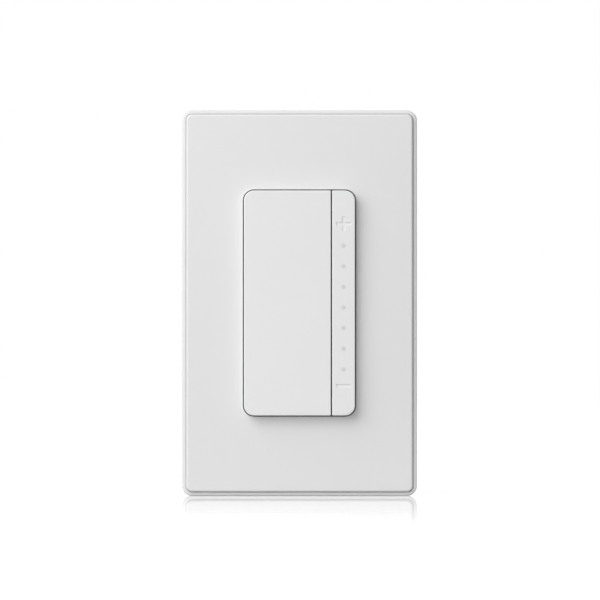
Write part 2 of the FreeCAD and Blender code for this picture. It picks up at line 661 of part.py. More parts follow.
def four_corners(make, across, up):
    """One loop in each of the four quarters."""
    return [make(signed(i, across), signed(j, up)) for i in (-1, 1) for j in (-1, 1)]


def pair(make, across, up):
    """One loop above the middle and one below it."""
    return [make(across, signed(j, up)) for j in (-1, 1)]


def make_sub_plate():
    plate = Piece("sub_plate")
    plate.pad("front", "0", "ledge_out", rect("plate_wide", "plate_tall", corner="plate_corner"))
    plate.round_edges("rim_round", flat_at("ledge_out"))
    plate.pocket("front", "ledge_out", "ledge_out - rim_out",
                 rect("nest_wide", "nest_tall", corner="cover_corner + nest_gap"))
    plate.pocket("front", "cover_base + pry_tall", "cover_base + pry_tall - rim_out",
                 rect("pry_wide", "4*ledge_wide", "0", "-plate_tall/2"))
    plate.pocket("front", "web_back", "web_back",
                 rect("rim_inner_wide", "rim_inner_tall", corner="plate_corner - rim_wall"))
    plate.pad("front", "rim_out - 0.5*web_thick", "ring_tall + 0.5*web_thick",
              rect("ring_wide", "ring_high", corner="ring_wall"),
              rect("ring_wide - 2*ring_wall", "ring_high - 2*ring_wall"))
    ribs = four_corners(
        lambda a, u: rect("(rim_inner_wide - yoke_wide)/2", "rib_thick", a, u),
        "(rim_inner_wide + yoke_wide)/4 + web_gap", "rib_up")
    plate.pad("front", "web_back - rib_tall", "rib_tall + 0.5*web_thick", *ribs)
    plate.pad("front", "yoke_thick", "web_back - yoke_thick + 0.5*web_thick",
              *pair(lambda a, u: disc("plate_boss", a, u), "0", "plate_screw_up"))
    plate.pocket("front", "rim_out", "web_thick", rect("web_wide", "web_tall", corner="flange_corner"))
    plate.pocket("front", "rim_out", "web_thick",
                 *pair(lambda a, u: disc("box_head + head_room", a, u), "0", "box_screw_up"))
    slots = four_corners(
        lambda a, u: rect("snap_wide + 2*snap_room", "snap_thick + snap_room", a, u),
        "snap_across", "snap_up - snap_room/2")
    plate.pocket("front", "rim_out", "web_thick", *slots)
    for side in (-1, 1):
        wide = "plate_head + screw_room"
        hole = "plate_screw + screw_room"
        front, back = "rim_out + web_thick", "yoke_thick - web_thick/2"
        points = [(front, "0"), (front, wide), ("rim_out", wide), ("rim_out - plate_sink", hole),
                  (back, hole), (back, "0")]
        plate.turn_out(points, "0", signed(side, "plate_screw_up"), cut=True)


def make_cover_plate():
    cover = Piece("cover_plate")
    cover.pad("front", "cover_base", "cover_out - cover_base",
              rect("cover_wide", "cover_tall", corner="cover_corner"))
    cover.round_edges("cover_round", flat_at("cover_out"))
    cover.pocket("front", "cover_back", "cover_back - cover_base",
                 rect("cover_wide - 2*cover_wall", "cover_tall - 2*cover_wall", corner="0.5*cover_corner"))
    cover.pocket("front", "cover_out", "cover_face",
                 rect("window_wide", "window_tall", corner="window_corner"))
    cover.pocket("front", "cover_base + pry_tall", "pry_tall",
                 rect("pry_wide", "4*cover_wall", "0", "-cover_tall/2"))
    for side in (-1, 1):
        hooks = []
        for end in (-1, 1):
            inner = signed(end, "snap_up - snap_thick/2")
            outer = signed(end, "snap_up + snap_thick/2")
            barb = signed(end, "snap_up + snap_thick/2 + snap_barb")
            lead = signed(end, "snap_up + snap_thick/2 - 0.5*snap_thick")
            hooks.append(path(("cover_out - 0.5*cover_face", inner), ("cover_out - 0.5*cover_face", outer),
                              ("barb_top", outer), ("barb_top", barb), ("barb_top - 0.3*snap_barb_tall", barb),
                              ("barb_low", lead), ("barb_low", inner)))
        cover.pad("side", f"{signed(side, 'snap_across')} - snap_wide/2", "snap_wide", *hooks)


def make_sub_plate_screws():
    screws = Piece("sub_plate_screws")
    for side in (-1, 1):
        head = "rim_out - plate_head_sunk"
        points = [(head, "0"), (head, "plate_head"), ("rim_out - plate_sink", "plate_screw"),
                  ("-plate_screw_back", "plate_screw"), ("-plate_screw_back", "0")]
        screws.turn_out(points, "0", signed(side, "plate_screw_up"))


def make_front_frame():
    frame = Piece("front_frame")
    frame.pad("front", "yoke_thick", "flange_thick",
              rect("flange_wide", "flange_tall", corner="flange_corner"))
    frame.pad("front", "yoke_thick", "tub_out - yoke_thick",
              rect("tub_wide", "tub_tall", corner="block_corner - tub_inset"),
              rect("tub_wide - 2*tub_wall", "tub_tall - 2*tub_wall", corner="block_corner - tub_wall"))
    frame.pad("front", "yoke_thick", "frame_boss_out - yoke_thick",
              *four_corners(lambda a, u: disc("frame_boss", a, u), "boss_across", "boss_up"))
    frame.pad("front", "yoke_thick", "board_out - yoke_thick",
              *(disc("post_boss", f"post_{key}_at", f"post_{key}_up") for key in "abc"))
    frame.pad("front", "yoke_thick", "flange_thick + stub_tall",
              *(disc("spring_stub", at, "spring_up") for at in ("spring_left", "spring_right")))
    frame.pocket("front", "frame_boss_out - frame_boss_roof", "frame_boss_out - frame_boss_roof - yoke_thick",
                 *four_corners(lambda a, u: disc("housing_screw + pin_room", a, u), "boss_across", "boss_up"))
    frame.pocket("front", "board_out", "board_out - yoke_thick",
                 *(disc("small_screw + pin_room", f"post_{key}_at", f"post_{key}_up") for key in "abc"))
    frame.pocket("front", "flange_out", "flange_thick",
                 rect("link_wide + link_room", "link_tall + link_room", "link_at", "link_up", "0.5*link_room"))
    lug = [("flange_out - 0.5*flange_thick", "-lug_half"), ("flange_out - 0.5*flange_thick", "lug_half"),
           ("axle_out", "lug_half"), ("lug_out", "0.6*lug_half"), ("lug_out", "-0.6*lug_half"),
           ("axle_out", "-lug_half")]
    hinge = [(out, f"hinge_up + ({up})") for out, up in lug]
    for at in ("hinge_lug_left", "hinge_lug_right"):
        frame.pad("side", at, "hinge_lug", path(*hinge), disc("hinge_pin + pin_room", "axle_out", "hinge_up"))
    for at in ("pivot_lug_left", "pivot_lug_right"):
        frame.pad("side", at, "pivot_lug", path(*lug), disc("pivot_pin + pin_room", "axle_out", "0"))
    keeper = "catch_low - catch_barb - lip_room"
    lip = "catch_low - lip_room"
    for at in ("catch_left", "catch_right"):
        outline = [("flange_out - 0.5*flange_thick", f"{keeper} - keeper_thick"),
                   ("flange_out - 0.5*flange_thick", keeper), ("lip_under", keeper), ("lip_under", lip),
                   ("lip_under + 0.4*lip_thick", lip), ("lip_under + lip_thick", f"{lip} - 0.5*catch_barb"),
                   ("lip_under + lip_thick", f"{keeper} - keeper_thick")]
        frame.pad("side", f"{at} - catch_wide/2", "catch_wide", path(*outline))


def dish_faces(piece, left, wide):
    """Hollows a front face along its height with one large radius."""
    piece.pocket("side", f"{left} + {wide} + face_round", f"{wide} + 2*face_round",
                 disc("dish_radius", "dish_centre", "0"))


def front_outline(left, right):
    """Tests for the edges all round a hollowed face."""
    low, sides = -value("face_out"), (value(left), value(right))
    ends = value("block_tall") / 2
    corner = value("block_corner")

    def test(edge):
        box = edge.BoundBox
        on_face = box.YMax < low + value("face_dish") + 0.02
        side = any(abs(box.XMin - x) < 1e-3 and abs(box.XMax - x) < 1e-3 for x in sides)
        end = abs(abs(box.Center.z) - ends) < corner and box.ZLength < corner + 1e-3
        return on_face and (side or end)
    return test


def make_main_paddle():
    paddle = Piece("main_paddle")
    split, outer = "split_corner", "block_corner"
    paddle.pad("front", "face_back", "face_out - face_back",
               rect("paddle_wide", "block_tall", "paddle_mid", corners=(split, split, outer, outer)))
    dish_faces(paddle, "paddle_left", "paddle_wide")
    paddle.round_edges("face_round", front_outline("paddle_left", "paddle_right"))
    paddle.pocket("front", "face_inner", "face_inner - face_back",
                  rect("paddle_wide - 2*paddle_wall", "block_tall - 2*paddle_wall", "paddle_mid",
                       corners=(None, None, "block_corner - paddle_wall", "block_corner - paddle_wall")))
    root = "0.5*paddle_wall"
    reach = f"paddle_wall - {root} + lug_room + hinge_lug + pin_reach"
    pin = disc("hinge_pin", "axle_out", "hinge_up")
    paddle.pad("side", f"paddle_left + {root}", reach, pin)
    paddle.pad("side", "hinge_lug_right - pin_reach", reach, pin)
    sunk = "0.3*face_thick"
    ribs = [rect("rib_wide", "2*rib_end", "left_rib_at"), rect("rib_wide", "2*rib_end", "right_rib_at")]
    paddle.pad("front", "face_inner - rib_deep", f"rib_deep + {sunk}", *ribs)
    paddle.pad("front", "face_inner - rib_deep", f"rib_deep + {sunk}",
               rect("right_rib_at - left_rib_at", "rib_wide", "(right_rib_at + left_rib_at)/2", "cross_rib_at"))
    post = "main_plunger_out + post_play"
    paddle.pad("front", post, f"face_inner - ({post}) + {sunk}", disc("press_post", "press_at", "press_up"))
    paddle.pad("front", "face_inner - stub_tall", f"stub_tall + {sunk}",
               *(disc("spring_stub", at, "spring_up") for at in ("spring_left", "spring_right")))
    barb = "catch_low - catch_barb"
    for at in ("catch_left", "catch_right"):
        outline = [(f"face_inner + {sunk}", "catch_up"), (f"face_inner + {sunk}", "catch_low"),
                   ("catch_tip + catch_barb_tall", "catch_low"), ("catch_tip + catch_barb_tall", barb),
                   ("catch_tip + 0.6*catch_barb_tall", barb), ("catch_tip", "catch_low + 0.3*catch_thick"),
                   ("catch_tip", "catch_up")]
        paddle.pad("side", f"{at} - catch_wide/2", "catch_wide", path(*outline))


def level_dots(radius):
    """A loop at each level light."""
    return [disc(radius, "bar_mid", f"dot_top - {i}*dot_pitch") for i in range(count("dot_count"))]


def make_level_bar():
    bar = Piece("level_bar")
    split, outer = "split_corner", "block_corner"
    bar.pad("front", "face_back", "face_out - face_back",
            rect("bar_wide", "block_tall", "bar_mid", corners=(outer, outer, split, split)))
    dish_faces(bar, "bar_left", "bar_wide")
    bar.round_edges("face_round", front_outline("bar_left", "bar_right"))
    bar.pocket("front", "face_inner", "face_inner - face_back",
               rect("bar_wide - 2*bar_wall", "block_tall - 2*bar_wall", "bar_mid",
                    corners=("block_corner - bar_wall", "block_corner - bar_wall", None, None)))
    bar.pocket("front", "face_out", "face_thick", *level_dots("dot_radius"))
    root = "0.5*bar_wall"
    pin = disc("pivot_pin", "axle_out", "0")
    reach = f"bar_wall - {root} + pivot_lug_room + pivot_lug + pin_reach"
    bar.pad("side", f"bar_left + {root}", reach, pin)
    bar.pad("side", "pivot_lug_right - pin_reach", reach, pin)
    tip = "level_plunger_out + post_play"
    bar.pad("front", tip, f"face_inner - ({tip}) + 0.3*face_thick",
            *pair(lambda a, u: disc("level_post", a, u), "bar_mid", "level_up"))


def make_light_guide():
    guide = Piece("light_guide")
    guide.pad("front", "face_inner - guide_thick", "guide_thick",
              rect("guide_wide", "dot_span + 2*guide_over", "bar_mid", "dot_middle", "0.4*guide_wide"))
    guide.pad("front", "face_inner - 0.5*guide_thick", "face_thick + 0.5*guide_thick",
              *level_dots("dot_radius - dot_room"))
    dish_faces(guide, "bar_left", "bar_wide")


def biarc(start, along, end, onward):
    """Two arcs that leave start along one direction and reach end along another, with one tangent."""
    chord = end - start
    both = along + onward
    square = 2 * (1 - along.dot(onward))
    middle = chord.dot(both)
    reach = (math.sqrt(middle ** 2 + square * chord.dot(chord)) - middle) / square
    first, second = start + along * reach, end - onward * reach
    joint = (first + second) * 0.5
    arcs = []
    for a, corner, b in ((start, first, joint), (joint, second, end)):
        weight = (b - a).Length / (2 * reach)
        middle = (a + corner * (2 * weight) + b) * (1 / (2 * (1 + weight)))
        arcs.append(Part.Arc(a, middle, b).toShape())
    return arcs


def coil(across, up, back, front):
    """A compression spring along the way out, its wire on half-turn biarcs of a helix."""
    radius, wire, turns = value("coil_radius"), value("coil_wire"), count("coil_turns")
    rise = (front - back - 2 * wire) / (2 * math.pi * turns)

    def on_helix(angle):
        return FreeCAD.Vector(across + radius * math.cos(angle), -(back + wire + rise * angle),
                              up + radius * math.sin(angle))

    def heading(angle):
        way = FreeCAD.Vector(-radius * math.sin(angle), -rise, radius * math.cos(angle))
        return way.normalize()

    steps = [i * math.pi for i in range(2 * turns + 1)]
    arcs = []
    for a, b in zip(steps, steps[1:]):
        arcs += biarc(on_helix(a), heading(a), on_helix(b), heading(b))
    spine = Part.Wire(arcs)
    ring = Part.Wire(Part.makeCircle(wire, on_helix(0), heading(0)))
    shell = Part.BRepOffsetAPI.MakePipeShell(spine)
    shell.add(ring)
    shell.build()
    shell.makeSolid()
    return Part.Solid(shell.shape())


def make_return_springs():
    springs = doc.addObject("Part::Feature", "return_springs")
    springs.Label = "return_springs"
    seats = (value("flange_out"), value("face_inner"))
    turns = [coil(value(at), value("spring_up"), *seats) for at in ("spring_left", "spring_right")]
    springs.Shape = Part.makeCompound(turns)
    gap = (seats[1] - seats[0]) / count("coil_turns") - 2 * value("coil_wire")
    print(f"return springs: least gap between turns {gap:.2f} mm")
    nodes.append(springs)


def make_control_board():
    board = Piece("control_board")
    board.pad("front", "board_out", "board_thick",
              path(("-board_side", "board_top"), ("-board_side", "board_step_up"),
                   ("board_step_at", "board_step_up"), ("board_step_at", "board_bottom"),
                   ("board_side", "board_bottom"), ("board_side", "board_top")))
    slots = [rect("pivot_lug + 2*baffle_room", "2*lug_half + 3*baffle_room", f"{at} + pivot_lug/2")
             for at in ("pivot_lug_left", "pivot_lug_right")]
    board.pocket("front", "board_front", "board_thick", *slots,
                 *(disc("small_screw + screw_room", f"post_{key}_at", f"post_{key}_up") for key in "abc"),
                 *link_pins("link_pin"))


def link_pins(side):
    """A square at each pin of the link."""
    pins = count("link_pins")
    return [rect(side, side, f"link_at + ({i} - {(pins - 1) / 2})*link_pitch", "link_up") for i in range(pins)]


def make_control_board_screws():
    screws = Piece("control_board_screws")
    for key in "abc":
        head, tip = "board_front + small_head_tall", "yoke_thick + seat_room"
        points = [(head, "0"), (head, "0.8*small_head"), ("board_front + 0.5*small_head_tall", "small_head"),
                  ("board_front", "small_head"), ("board_front", "small_screw"), (tip, "small_screw"),
                  (tip, "0")]
        screws.turn_out(points, f"post_{key}_at", f"post_{key}_up")


def make_main_switch():
    switch = Piece("main_switch")
    switch.pad("front", "board_front", "switch_tall",
               rect("switch_wide", "switch_wide", "press_at", "press_up", "0.1*switch_wide"))
    switch.pocket("front", "switch_out", "switch_out - main_plunger_out + main_plunger_long + plunger_travel",
                  disc("main_plunger + pin_room", "press_at", "press_up"))
    plunger = Piece("main_plunger")
    plunger.pad("front", "main_plunger_out - main_plunger_long", "main_plunger_long",
                disc("main_plunger", "press_at", "press_up"))
    plunger.bevel_edges("0.2*main_plunger", flat_at("main_plunger_out"))


def make_level_switches():
    switches = Piece("level_switches")
    cases = pair(lambda a, u: rect("level_wide", "level_tall", a, u, "0.1*level_wide"), "bar_mid", "level_up")
    switches.pad("front", "board_front", "switch_tall", *cases)
    well = "switch_out - level_plunger_out + level_plunger_long + plunger_travel"
    switches.pocket("front", "switch_out", well,
                    *pair(lambda a, u: disc("level_plunger + pin_room", a, u), "bar_mid", "level_up"))
    for label, side in (("level_up_plunger", 1), ("level_down_plunger", -1)):
        plunger = Piece(label)
        plunger.pad("front", "level_plunger_out - level_plunger_long", "level_plunger_long",
                    disc("level_plunger", "bar_mid", signed(side, "level_up")))
        plunger.bevel_edges("0.2*level_plunger", flat_at("level_plunger_out"))


def make_level_lights():
    lights = [block(f"level_light_{i}", "light_wide", "light_long", "light_tall",
                    "bar_mid", f"dot_top - {i}*dot_pitch", "board_front") for i in range(count("dot_count"))]
    group("level_leds", lights)
    baffle = Piece("led_baffle")
    wide, long = "light_wide + 2*baffle_room", "light_long + 2*baffle_room"
    holes = [rect(wide, long, "bar_mid", f"dot_top - {i}*dot_pitch") for i in range(count("dot_count"))]
    baffle.pad("front", "board_front", "baffle_tall",
               rect("baffle_wide", "dot_span + 2*baffle_over", "bar_mid", "dot_middle"), *holes)


def make_radio():
    module = Piece("wireless_module")
    module.pad("front", "board_front", "radio_thick", rect("radio_wide", "radio_tall", "radio_at", "radio_up"))
    shield = Piece("wireless_shield")
    base, centre = "board_front + radio_thick", ("radio_at", "radio_up - antenna_room/2")
    shield.pad("front", base, "shield_out", rect("shield_wide", "shield_tall", *centre, "shield_round"))
    shield.round_edges("shield_round", flat_at(f"{base} + shield_out"))
    shield.pocket("front", f"{base} + shield_out - shield_sheet", "shield_out - shield_sheet",
                  rect("shield_wide - 2*shield_sheet", "shield_tall - 2*shield_sheet", *centre))


def make_driver_chip():
    chip = Piece("driver_chip")
    chip.pad("front", "board_front", "chip_tall", rect("chip_wide", "chip_wide", "chip_at", "chip_up"))
    legs = [rect("chip_wide + 4*chip_leg", "chip_leg", "chip_at", f"chip_up + {i}*chip_pitch")
            for i in (-2, -1, 0, 1, 2)]
    chip.pad("front", "board_front", "0.3*chip_tall", *legs)


def make_link():
    header = Piece("link_header")
    header.pad("front", "board_out - link_base", "link_base",
               rect("link_wide", "link_tall", "link_at", "link_up", "0.2*link_tall"))
    header.pad("front", "-link_back", "link_back + board_front + 0.3*board_thick", *link_pins("link_pin"))
    socket = Piece("link_socket")
    front = "board_out - link_base - seat_room"
    socket.pad("front", "-power_out", f"power_out + {front}",
               rect("link_wide", "link_tall", "link_at", "link_up", "0.2*link_tall"))
    socket.pocket("front", front, f"{front} + link_back + 2*seat_room", *link_pins("link_pin + 2*pin_room"))


def make_yoke():
    yoke = Piece("yoke")
    yoke.pad("front", "0", "yoke_thick", rect("yoke_wide", "yoke_tall", corner="yoke_corner"))
    yoke.pad("front", "0", "yoke_thick", rect("strap_wide", "yoke_span", corner="yoke_corner"))
    ear_up = "(yoke_span - ear_tall)/2 - yoke_corner"
    yoke.pad("front", "0", "yoke_thick", *four_corners(
        lambda a, u: rect("ear_wide", "ear_tall", a, u, "ear_corner"),
        "(strap_wide + ear_wide)/2 - 0.5*ear_notch", ear_up))
    yoke.pad("front", "-ground_tab_back", "ground_tab_back + 0.5*yoke_thick",
             rect("yoke_thick", "ground_tab_tall", "ground_tab_at - yoke_thick/2", "ground_up"))
    notches = [disc("ear_notch", signed(i, "strap_wide/2"), signed(j, f"{ear_up} + {k}*ear_tall/2"))
               for i in (-1, 1) for j in (-1, 1) for k in (-1, 1)]
    yoke.pocket("front", "yoke_thick", "yoke_thick", *notches)
    yoke.pocket("front", "yoke_thick", "yoke_thick",
                *pair(lambda a, u: disc("box_screw + screw_room", a, u), "0", "box_screw_up"),
                *pair(lambda a, u: disc("plate_screw + pin_room", a, u), "0", "plate_screw_up"),
                *four_corners(lambda a, u: disc("housing_screw + screw_room", a, u), "boss_across", "boss_up"),
                *(disc("fet_screw + pin_room", signed(i, "fet_at"), "fet_hole_up") for i in (-1, 1)),
                rect("link_wide + link_room", "link_tall + link_room", "link_at", "link_up", "0.5*link_room"))
    yoke.pocket("side", "ground_tab_at + yoke_thick/2", "2*yoke_thick",
                disc("side_screw + pin_room", "-ground_screw_back", "ground_up"))


def make_wall_box_screws():
    screws = Piece("wall_box_screws")
    head = "yoke_thick + box_head_tall"
    for side in (-1, 1):
        points = [(head, "0"), (head, "0.75*box_head"), (f"{head} - 0.35*box_head_tall", "box_head"),
                  ("yoke_thick", "box_head"), ("yoke_thick", "box_neck"), ("0", "box_neck"), ("0", "box_screw"),
                  ("-box_screw_back", "box_screw"), ("-box_screw_back - 0.5*box_screw", "0.5*box_screw"),
                  ("-box_screw_back - 0.5*box_screw", "0")]
        screws.turn_out(points, "0", signed(side, "box_screw_up"))


def make_ground_screw():
    screw = Piece("ground_screw")
    face = "(ground_tab_at - yoke_thick)"
    points = [(f"{face} - ground_head_tall", "0"), (f"{face} - ground_head_tall", "0.85*ground_head"),
              (f"{face} - 0.7*ground_head_tall", "ground_head"), (face, "ground_head"), (face, "side_screw"),
              (f"{face} + yoke_thick + ground_screw_long", "side_screw"),
              (f"{face} + yoke_thick + ground_screw_long", "0")]
    screw.turn_across(points, "ground_up", "-ground_screw_back")


def screw_holes():
    """A clear hole at each housing screw."""
    return four_corners(lambda a, u: disc("housing_screw + screw_room", a, u), "boss_across", "boss_up")


# Terminal bays: the node's first word, the side it is on and whether it is above or below the middle.
BAYS = (("line", 1, 1), ("load", 1, -1), ("neutral", -1, 1))


def across_from(side, near, deep):
    """The level of a slab that starts near from the middle and is deep, on either side."""
    return near if side > 0 else f"-({near}) - ({deep})"


def make_rear_housing():
    housing = Piece("rear_housing")
    housing.pad("front", "-housing_deep", "housing_deep",
                rect("housing_wide", "housing_tall", corner="housing_corner"))
    housing.round_edges("housing_round", flat_at("-housing_deep"))
    housing.pocket("front", "0", "housing_deep - housing_wall",
                   rect("housing_wide - 2*housing_wall", "housing_tall - 2*housing_wall",
                        corner="0.5*housing_corner"))
    housing.pad("front", "-housing_deep + 0.5*housing_wall", "housing_deep - power_back - 0.5*housing_wall",
                *four_corners(lambda a, u: disc("housing_boss", a, u), "boss_across", "boss_up"))
    core_near = "bay_inner"
    core_deep = "bay_core + bay_deep - 0.5*housing_wall"
    for side in (1, -1):
        walls = [rect("bay_long + 2*bay_wall", "bay_tall + 2*bay_wall", "-bay_middle", signed(up, "bay_up"))
                 for name, at, up in BAYS if at == side]
        housing.pad("side", across_from(side, core_near, core_deep), core_deep, *walls)
        bays = [rect("bay_long", "bay_tall", "-bay_middle", signed(up, "bay_up"), "0.1*bay_tall")
                for name, at, up in BAYS if at == side]
        top = "housing_wide/2" if side > 0 else "-bay_floor"
        housing.pocket("side", top, "bay_deep", *bays)
        screws = [disc("side_screw + pin_room", "-bay_middle", signed(up, "bay_up"))
                  for name, at, up in BAYS if at == side]
        reach = "terminal_screw_long + tip_room"
        housing.pocket("side", "bay_floor" if side > 0 else f"-bay_floor + {reach}", reach, *screws)
    tails = [rect("terminal_thick + 2*pin_room", "tail_wide + 2*pin_room",
                  signed(side, "bay_floor + terminal_thick/2"), signed(up, "bay_up"))
             for name, side, up in BAYS]
    housing.pocket("front", "bay_wall - bay_front + seat_room", "bay_wall + terminal_room + seat_room", *tails)
    housing.pocket("front", "-power_back", "housing_deep - power_back", *screw_holes())
    housing.pocket("front", "boss_sink - housing_deep", "boss_sink",
                   *four_corners(lambda a, u: disc("housing_screw_head + screw_room", a, u),
                                 "boss_across", "boss_up"))


def make_housing_screws():
    screws = Piece("housing_screws")
    top, seat = "seat_room - housing_deep", "boss_sink - housing_deep"
    tip = "frame_boss_out - frame_boss_roof - seat_room"
    points = [(tip, "0"), (tip, "housing_screw"), (seat, "housing_screw"), (seat, "housing_screw_head"),
              (f"{top} + 0.4*boss_sink", "housing_screw_head"), (top, "0.7*housing_screw_head"), (top, "0")]
    for i in (-1, 1):
        for j in (-1, 1):
            screws.turn_out(points, signed(i, "boss_across"), signed(j, "boss_up"))


def make_insulator_tray():
    tray = Piece("insulator_tray")
    tray.pad("front", "-tray_thick", "tray_thick",
             rect("board_wide", "board_tall", corner="0.3*housing_corner"))
    tray.pad("front", "-power_out", "power_out - 0.5*tray_thick",
             *four_corners(lambda a, u: disc("tray_post", a, u), "boss_across", "boss_up"))
    windows = [rect("fet_wide + 2*fet_room", "fet_tall + fet_lead_drop + 2*fet_room", signed(i, "fet_at"),
                    "fet_low + (fet_tall - fet_lead_drop)/2", "0.5*fet_room") for i in (-1, 1)]
    tray.pocket("front", "0", "tray_thick", *windows,
                rect("link_wide + link_room", "link_tall + link_room", "link_at", "link_up", "0.5*link_room"))
    tray.pocket("front", "0", "power_out", *screw_holes())


def make_power_board():
    board = Piece("power_board")
    board.pad("front", "-power_back", "power_thick",
              rect("board_wide", "board_tall", corner="0.3*housing_corner"))
    board.pocket("front", "-power_out", "power_thick", *screw_holes())


def make_transistors():
    pads = Piece("thermal_pads")
    fets = Piece("power_transistors")
    screws = Piece("transistor_screws")
    tab = "pad_thick + fet_tab"
    for side in (-1, 1):
        at = signed(side, "fet_at")
        pads.pad("front", "-pad_thick", "pad_thick",
                 rect("pad_wide", "fet_tall + 2*pad_over", at, "fet_low + fet_tall/2"),
                 disc("fet_screw + screw_room", at, "fet_hole_up"))
        fets.pad("front", f"-({tab})", "fet_tab", rect("fet_wide", "fet_tall", at, "fet_low + fet_tall/2"),
                 disc("fet_screw + screw_room", at, "fet_hole_up"))
        fets.pad("front", "-pad_thick - fet_thick", "fet_thick",
                 rect("fet_wide", "fet_body", at, "fet_low + fet_body/2", "0.05*fet_wide"))
        low, inside = "fet_low - fet_lead_drop", "fet_low + lead_thick"
        bend = [("-fet_lead_back", inside), ("-fet_lead_back", low), ("-power_out", low),
                ("-power_out", f"{low} + lead_thick"), ("-fet_lead_back - lead_thick", f"{low} + lead_thick"),
                ("-fet_lead_back - lead_thick", inside)]
        for lead in (-1, 0, 1):
            fets.pad("side", f"{at} + {lead}*link_pitch - lead_thick/2", "lead_thick", path(*bend))
        top = f"-({tab}) - fet_screw_head_tall"
        points = [("yoke_thick", "0"), ("yoke_thick", "fet_screw"), (f"-({tab})", "fet_screw"),
                  (f"-({tab})", "fet_screw_head"), (f"{top} + 0.4*fet_screw_head_tall", "fet_screw_head"),
                  (top, "0.7*fet_screw_head"), (top, "0")]
        screws.turn_out(points, at, "fet_hole_up")


def make_choke():
    low = "-(power_back + choke_seat + choke_wire)"
    high = f"{low} - choke_tall"

    def section(over):
        """The core's section, larger all round by over."""
        near, far = f"choke_bore - {over}", f"choke_radius + {over}"
        return [(f"{low} + {over}", near), (f"{low} + {over}", far), (f"{high} - {over}", far),
                (f"{high} - {over}", near)]

    core = Piece("choke_core")
    core.turn_out(section("0"), "choke_at", "choke_up")
    core.bevel_edges("0.1*choke_tall", lambda edge: True)
    winding = Piece("choke_winding")
    half = winding.turn("side", section("choke_wire"), ("0", "choke_up"), "choke_at", angle="choke_sweep",
                        loops=(path(*section("pin_room")),))
    both = winding.body.newObject("PartDesign::PolarPattern", "choke_winding_pattern")
    both.Originals = [half]
    both.Axis = (half.Profile[0], ["H_Axis"])
    both.Angle = 360
    both.Occurrences = 2
    winding.body.Tip = both
    winding.tip = both


def make_capacitors():
    can = Piece("bulk_capacitor")
    low, top = "-power_back", "-power_back - can_tall"
    neck = f"{low} - 0.12*can_tall"
    can.turn_out([(low, "0"), (low, "can_radius"), (neck, "can_radius"),
                  (f"{neck} - can_groove", "can_radius - can_groove"), (f"{neck} - 2*can_groove", "can_radius"),
                  (f"{top} + can_groove", "can_radius"), (top, "can_radius - can_groove"), (top, "0")],
                 "can_at", "can_up")
    shell = block("film_capacitor_case", "film_wide", "film_long", "film_tall", "film_at", "film_up",
                  "-power_back - film_tall")
    doc.recompute()
    film = doc.addObject("Part::Fillet", "film_capacitor")
    film.Label = "film_capacitor"
    film.Base = shell
    radius = value("film_round")
    film.Edges = [(i, radius, radius) for i in range(1, len(shell.Shape.Edges) + 1)]
    nodes.append(film)


def make_transformer():
    core = Piece("transformer_core")
    back = "power_back + core_deep"
    core.pad("front", f"-({back})", "core_deep", rect("core_wide", "core_tall", "core_at", "core_up"))
    window = "(core_wide - core_leg - 2*core_side)/2"
    windows = [rect(window, "core_deep - 2*core_yoke", signed(side, f"core_leg/2 + {window}/2"),
                    "-power_back - core_deep/2") for side in (-1, 1)]
    shifted = [lambda drawing, place, w=w: w(drawing, lambda a, o: place(f"core_at + {a}", o)) for w in windows]
    core.pocket("floor", "core_up + core_tall/2", "core_tall", *shifted)
    winding = Piece("transformer_winding")
    wide = f"core_leg + 2*{window} - 2*coil_play"
    winding.pad("front", f"-({back}) + core_yoke + coil_play", "core_deep - 2*core_yoke - 2*coil_play",
                rect(wide, "core_tall + 2*coil_over", "core_at", "core_up", "0.8*coil_over"),
                rect("core_leg + 2*coil_play", "core_tall + 2*coil_play", "core_at", "core_up"))


def make_varistor():
    varistor = Piece("surge_varistor")
    middle = "-(power_back + part_stand + varistor_radius)"
    varistor.pad("side", "varistor_at - varistor_thick/2", "varistor_thick",
                 disc("varistor_radius", middle, "varistor_up"))
    varistor.round_edges("0.3*varistor_thick", lambda edge: edge.Length > 1.5 * value("varistor_radius"))
    for side in (-1, 1):
        lead_up = f"varistor_up + {side}*0.5*varistor_radius"
        varistor.pad("front", middle, "part_stand + varistor_radius",
                     rect("lead_thick", "lead_thick", "varistor_at", lead_up))


def make_fuse():
    fuse = Piece("line_fuse")
    base = "power_back + part_stand"
    fuse.pad("front", f"-({base}) - fuse_tall", "fuse_tall", disc("fuse_radius", "fuse_at", "fuse_up"))
    fuse.round_edges("0.1*fuse_tall", flat_at(f"-({base}) - fuse_tall"))
    fuse.pad("front", f"-({base}) - 0.5*fuse_tall", "part_stand + 0.5*fuse_tall",
             *(disc("lead_thick/2", "fuse_at", f"fuse_up + {side}*0.5*fuse_radius") for side in (-1, 1)))


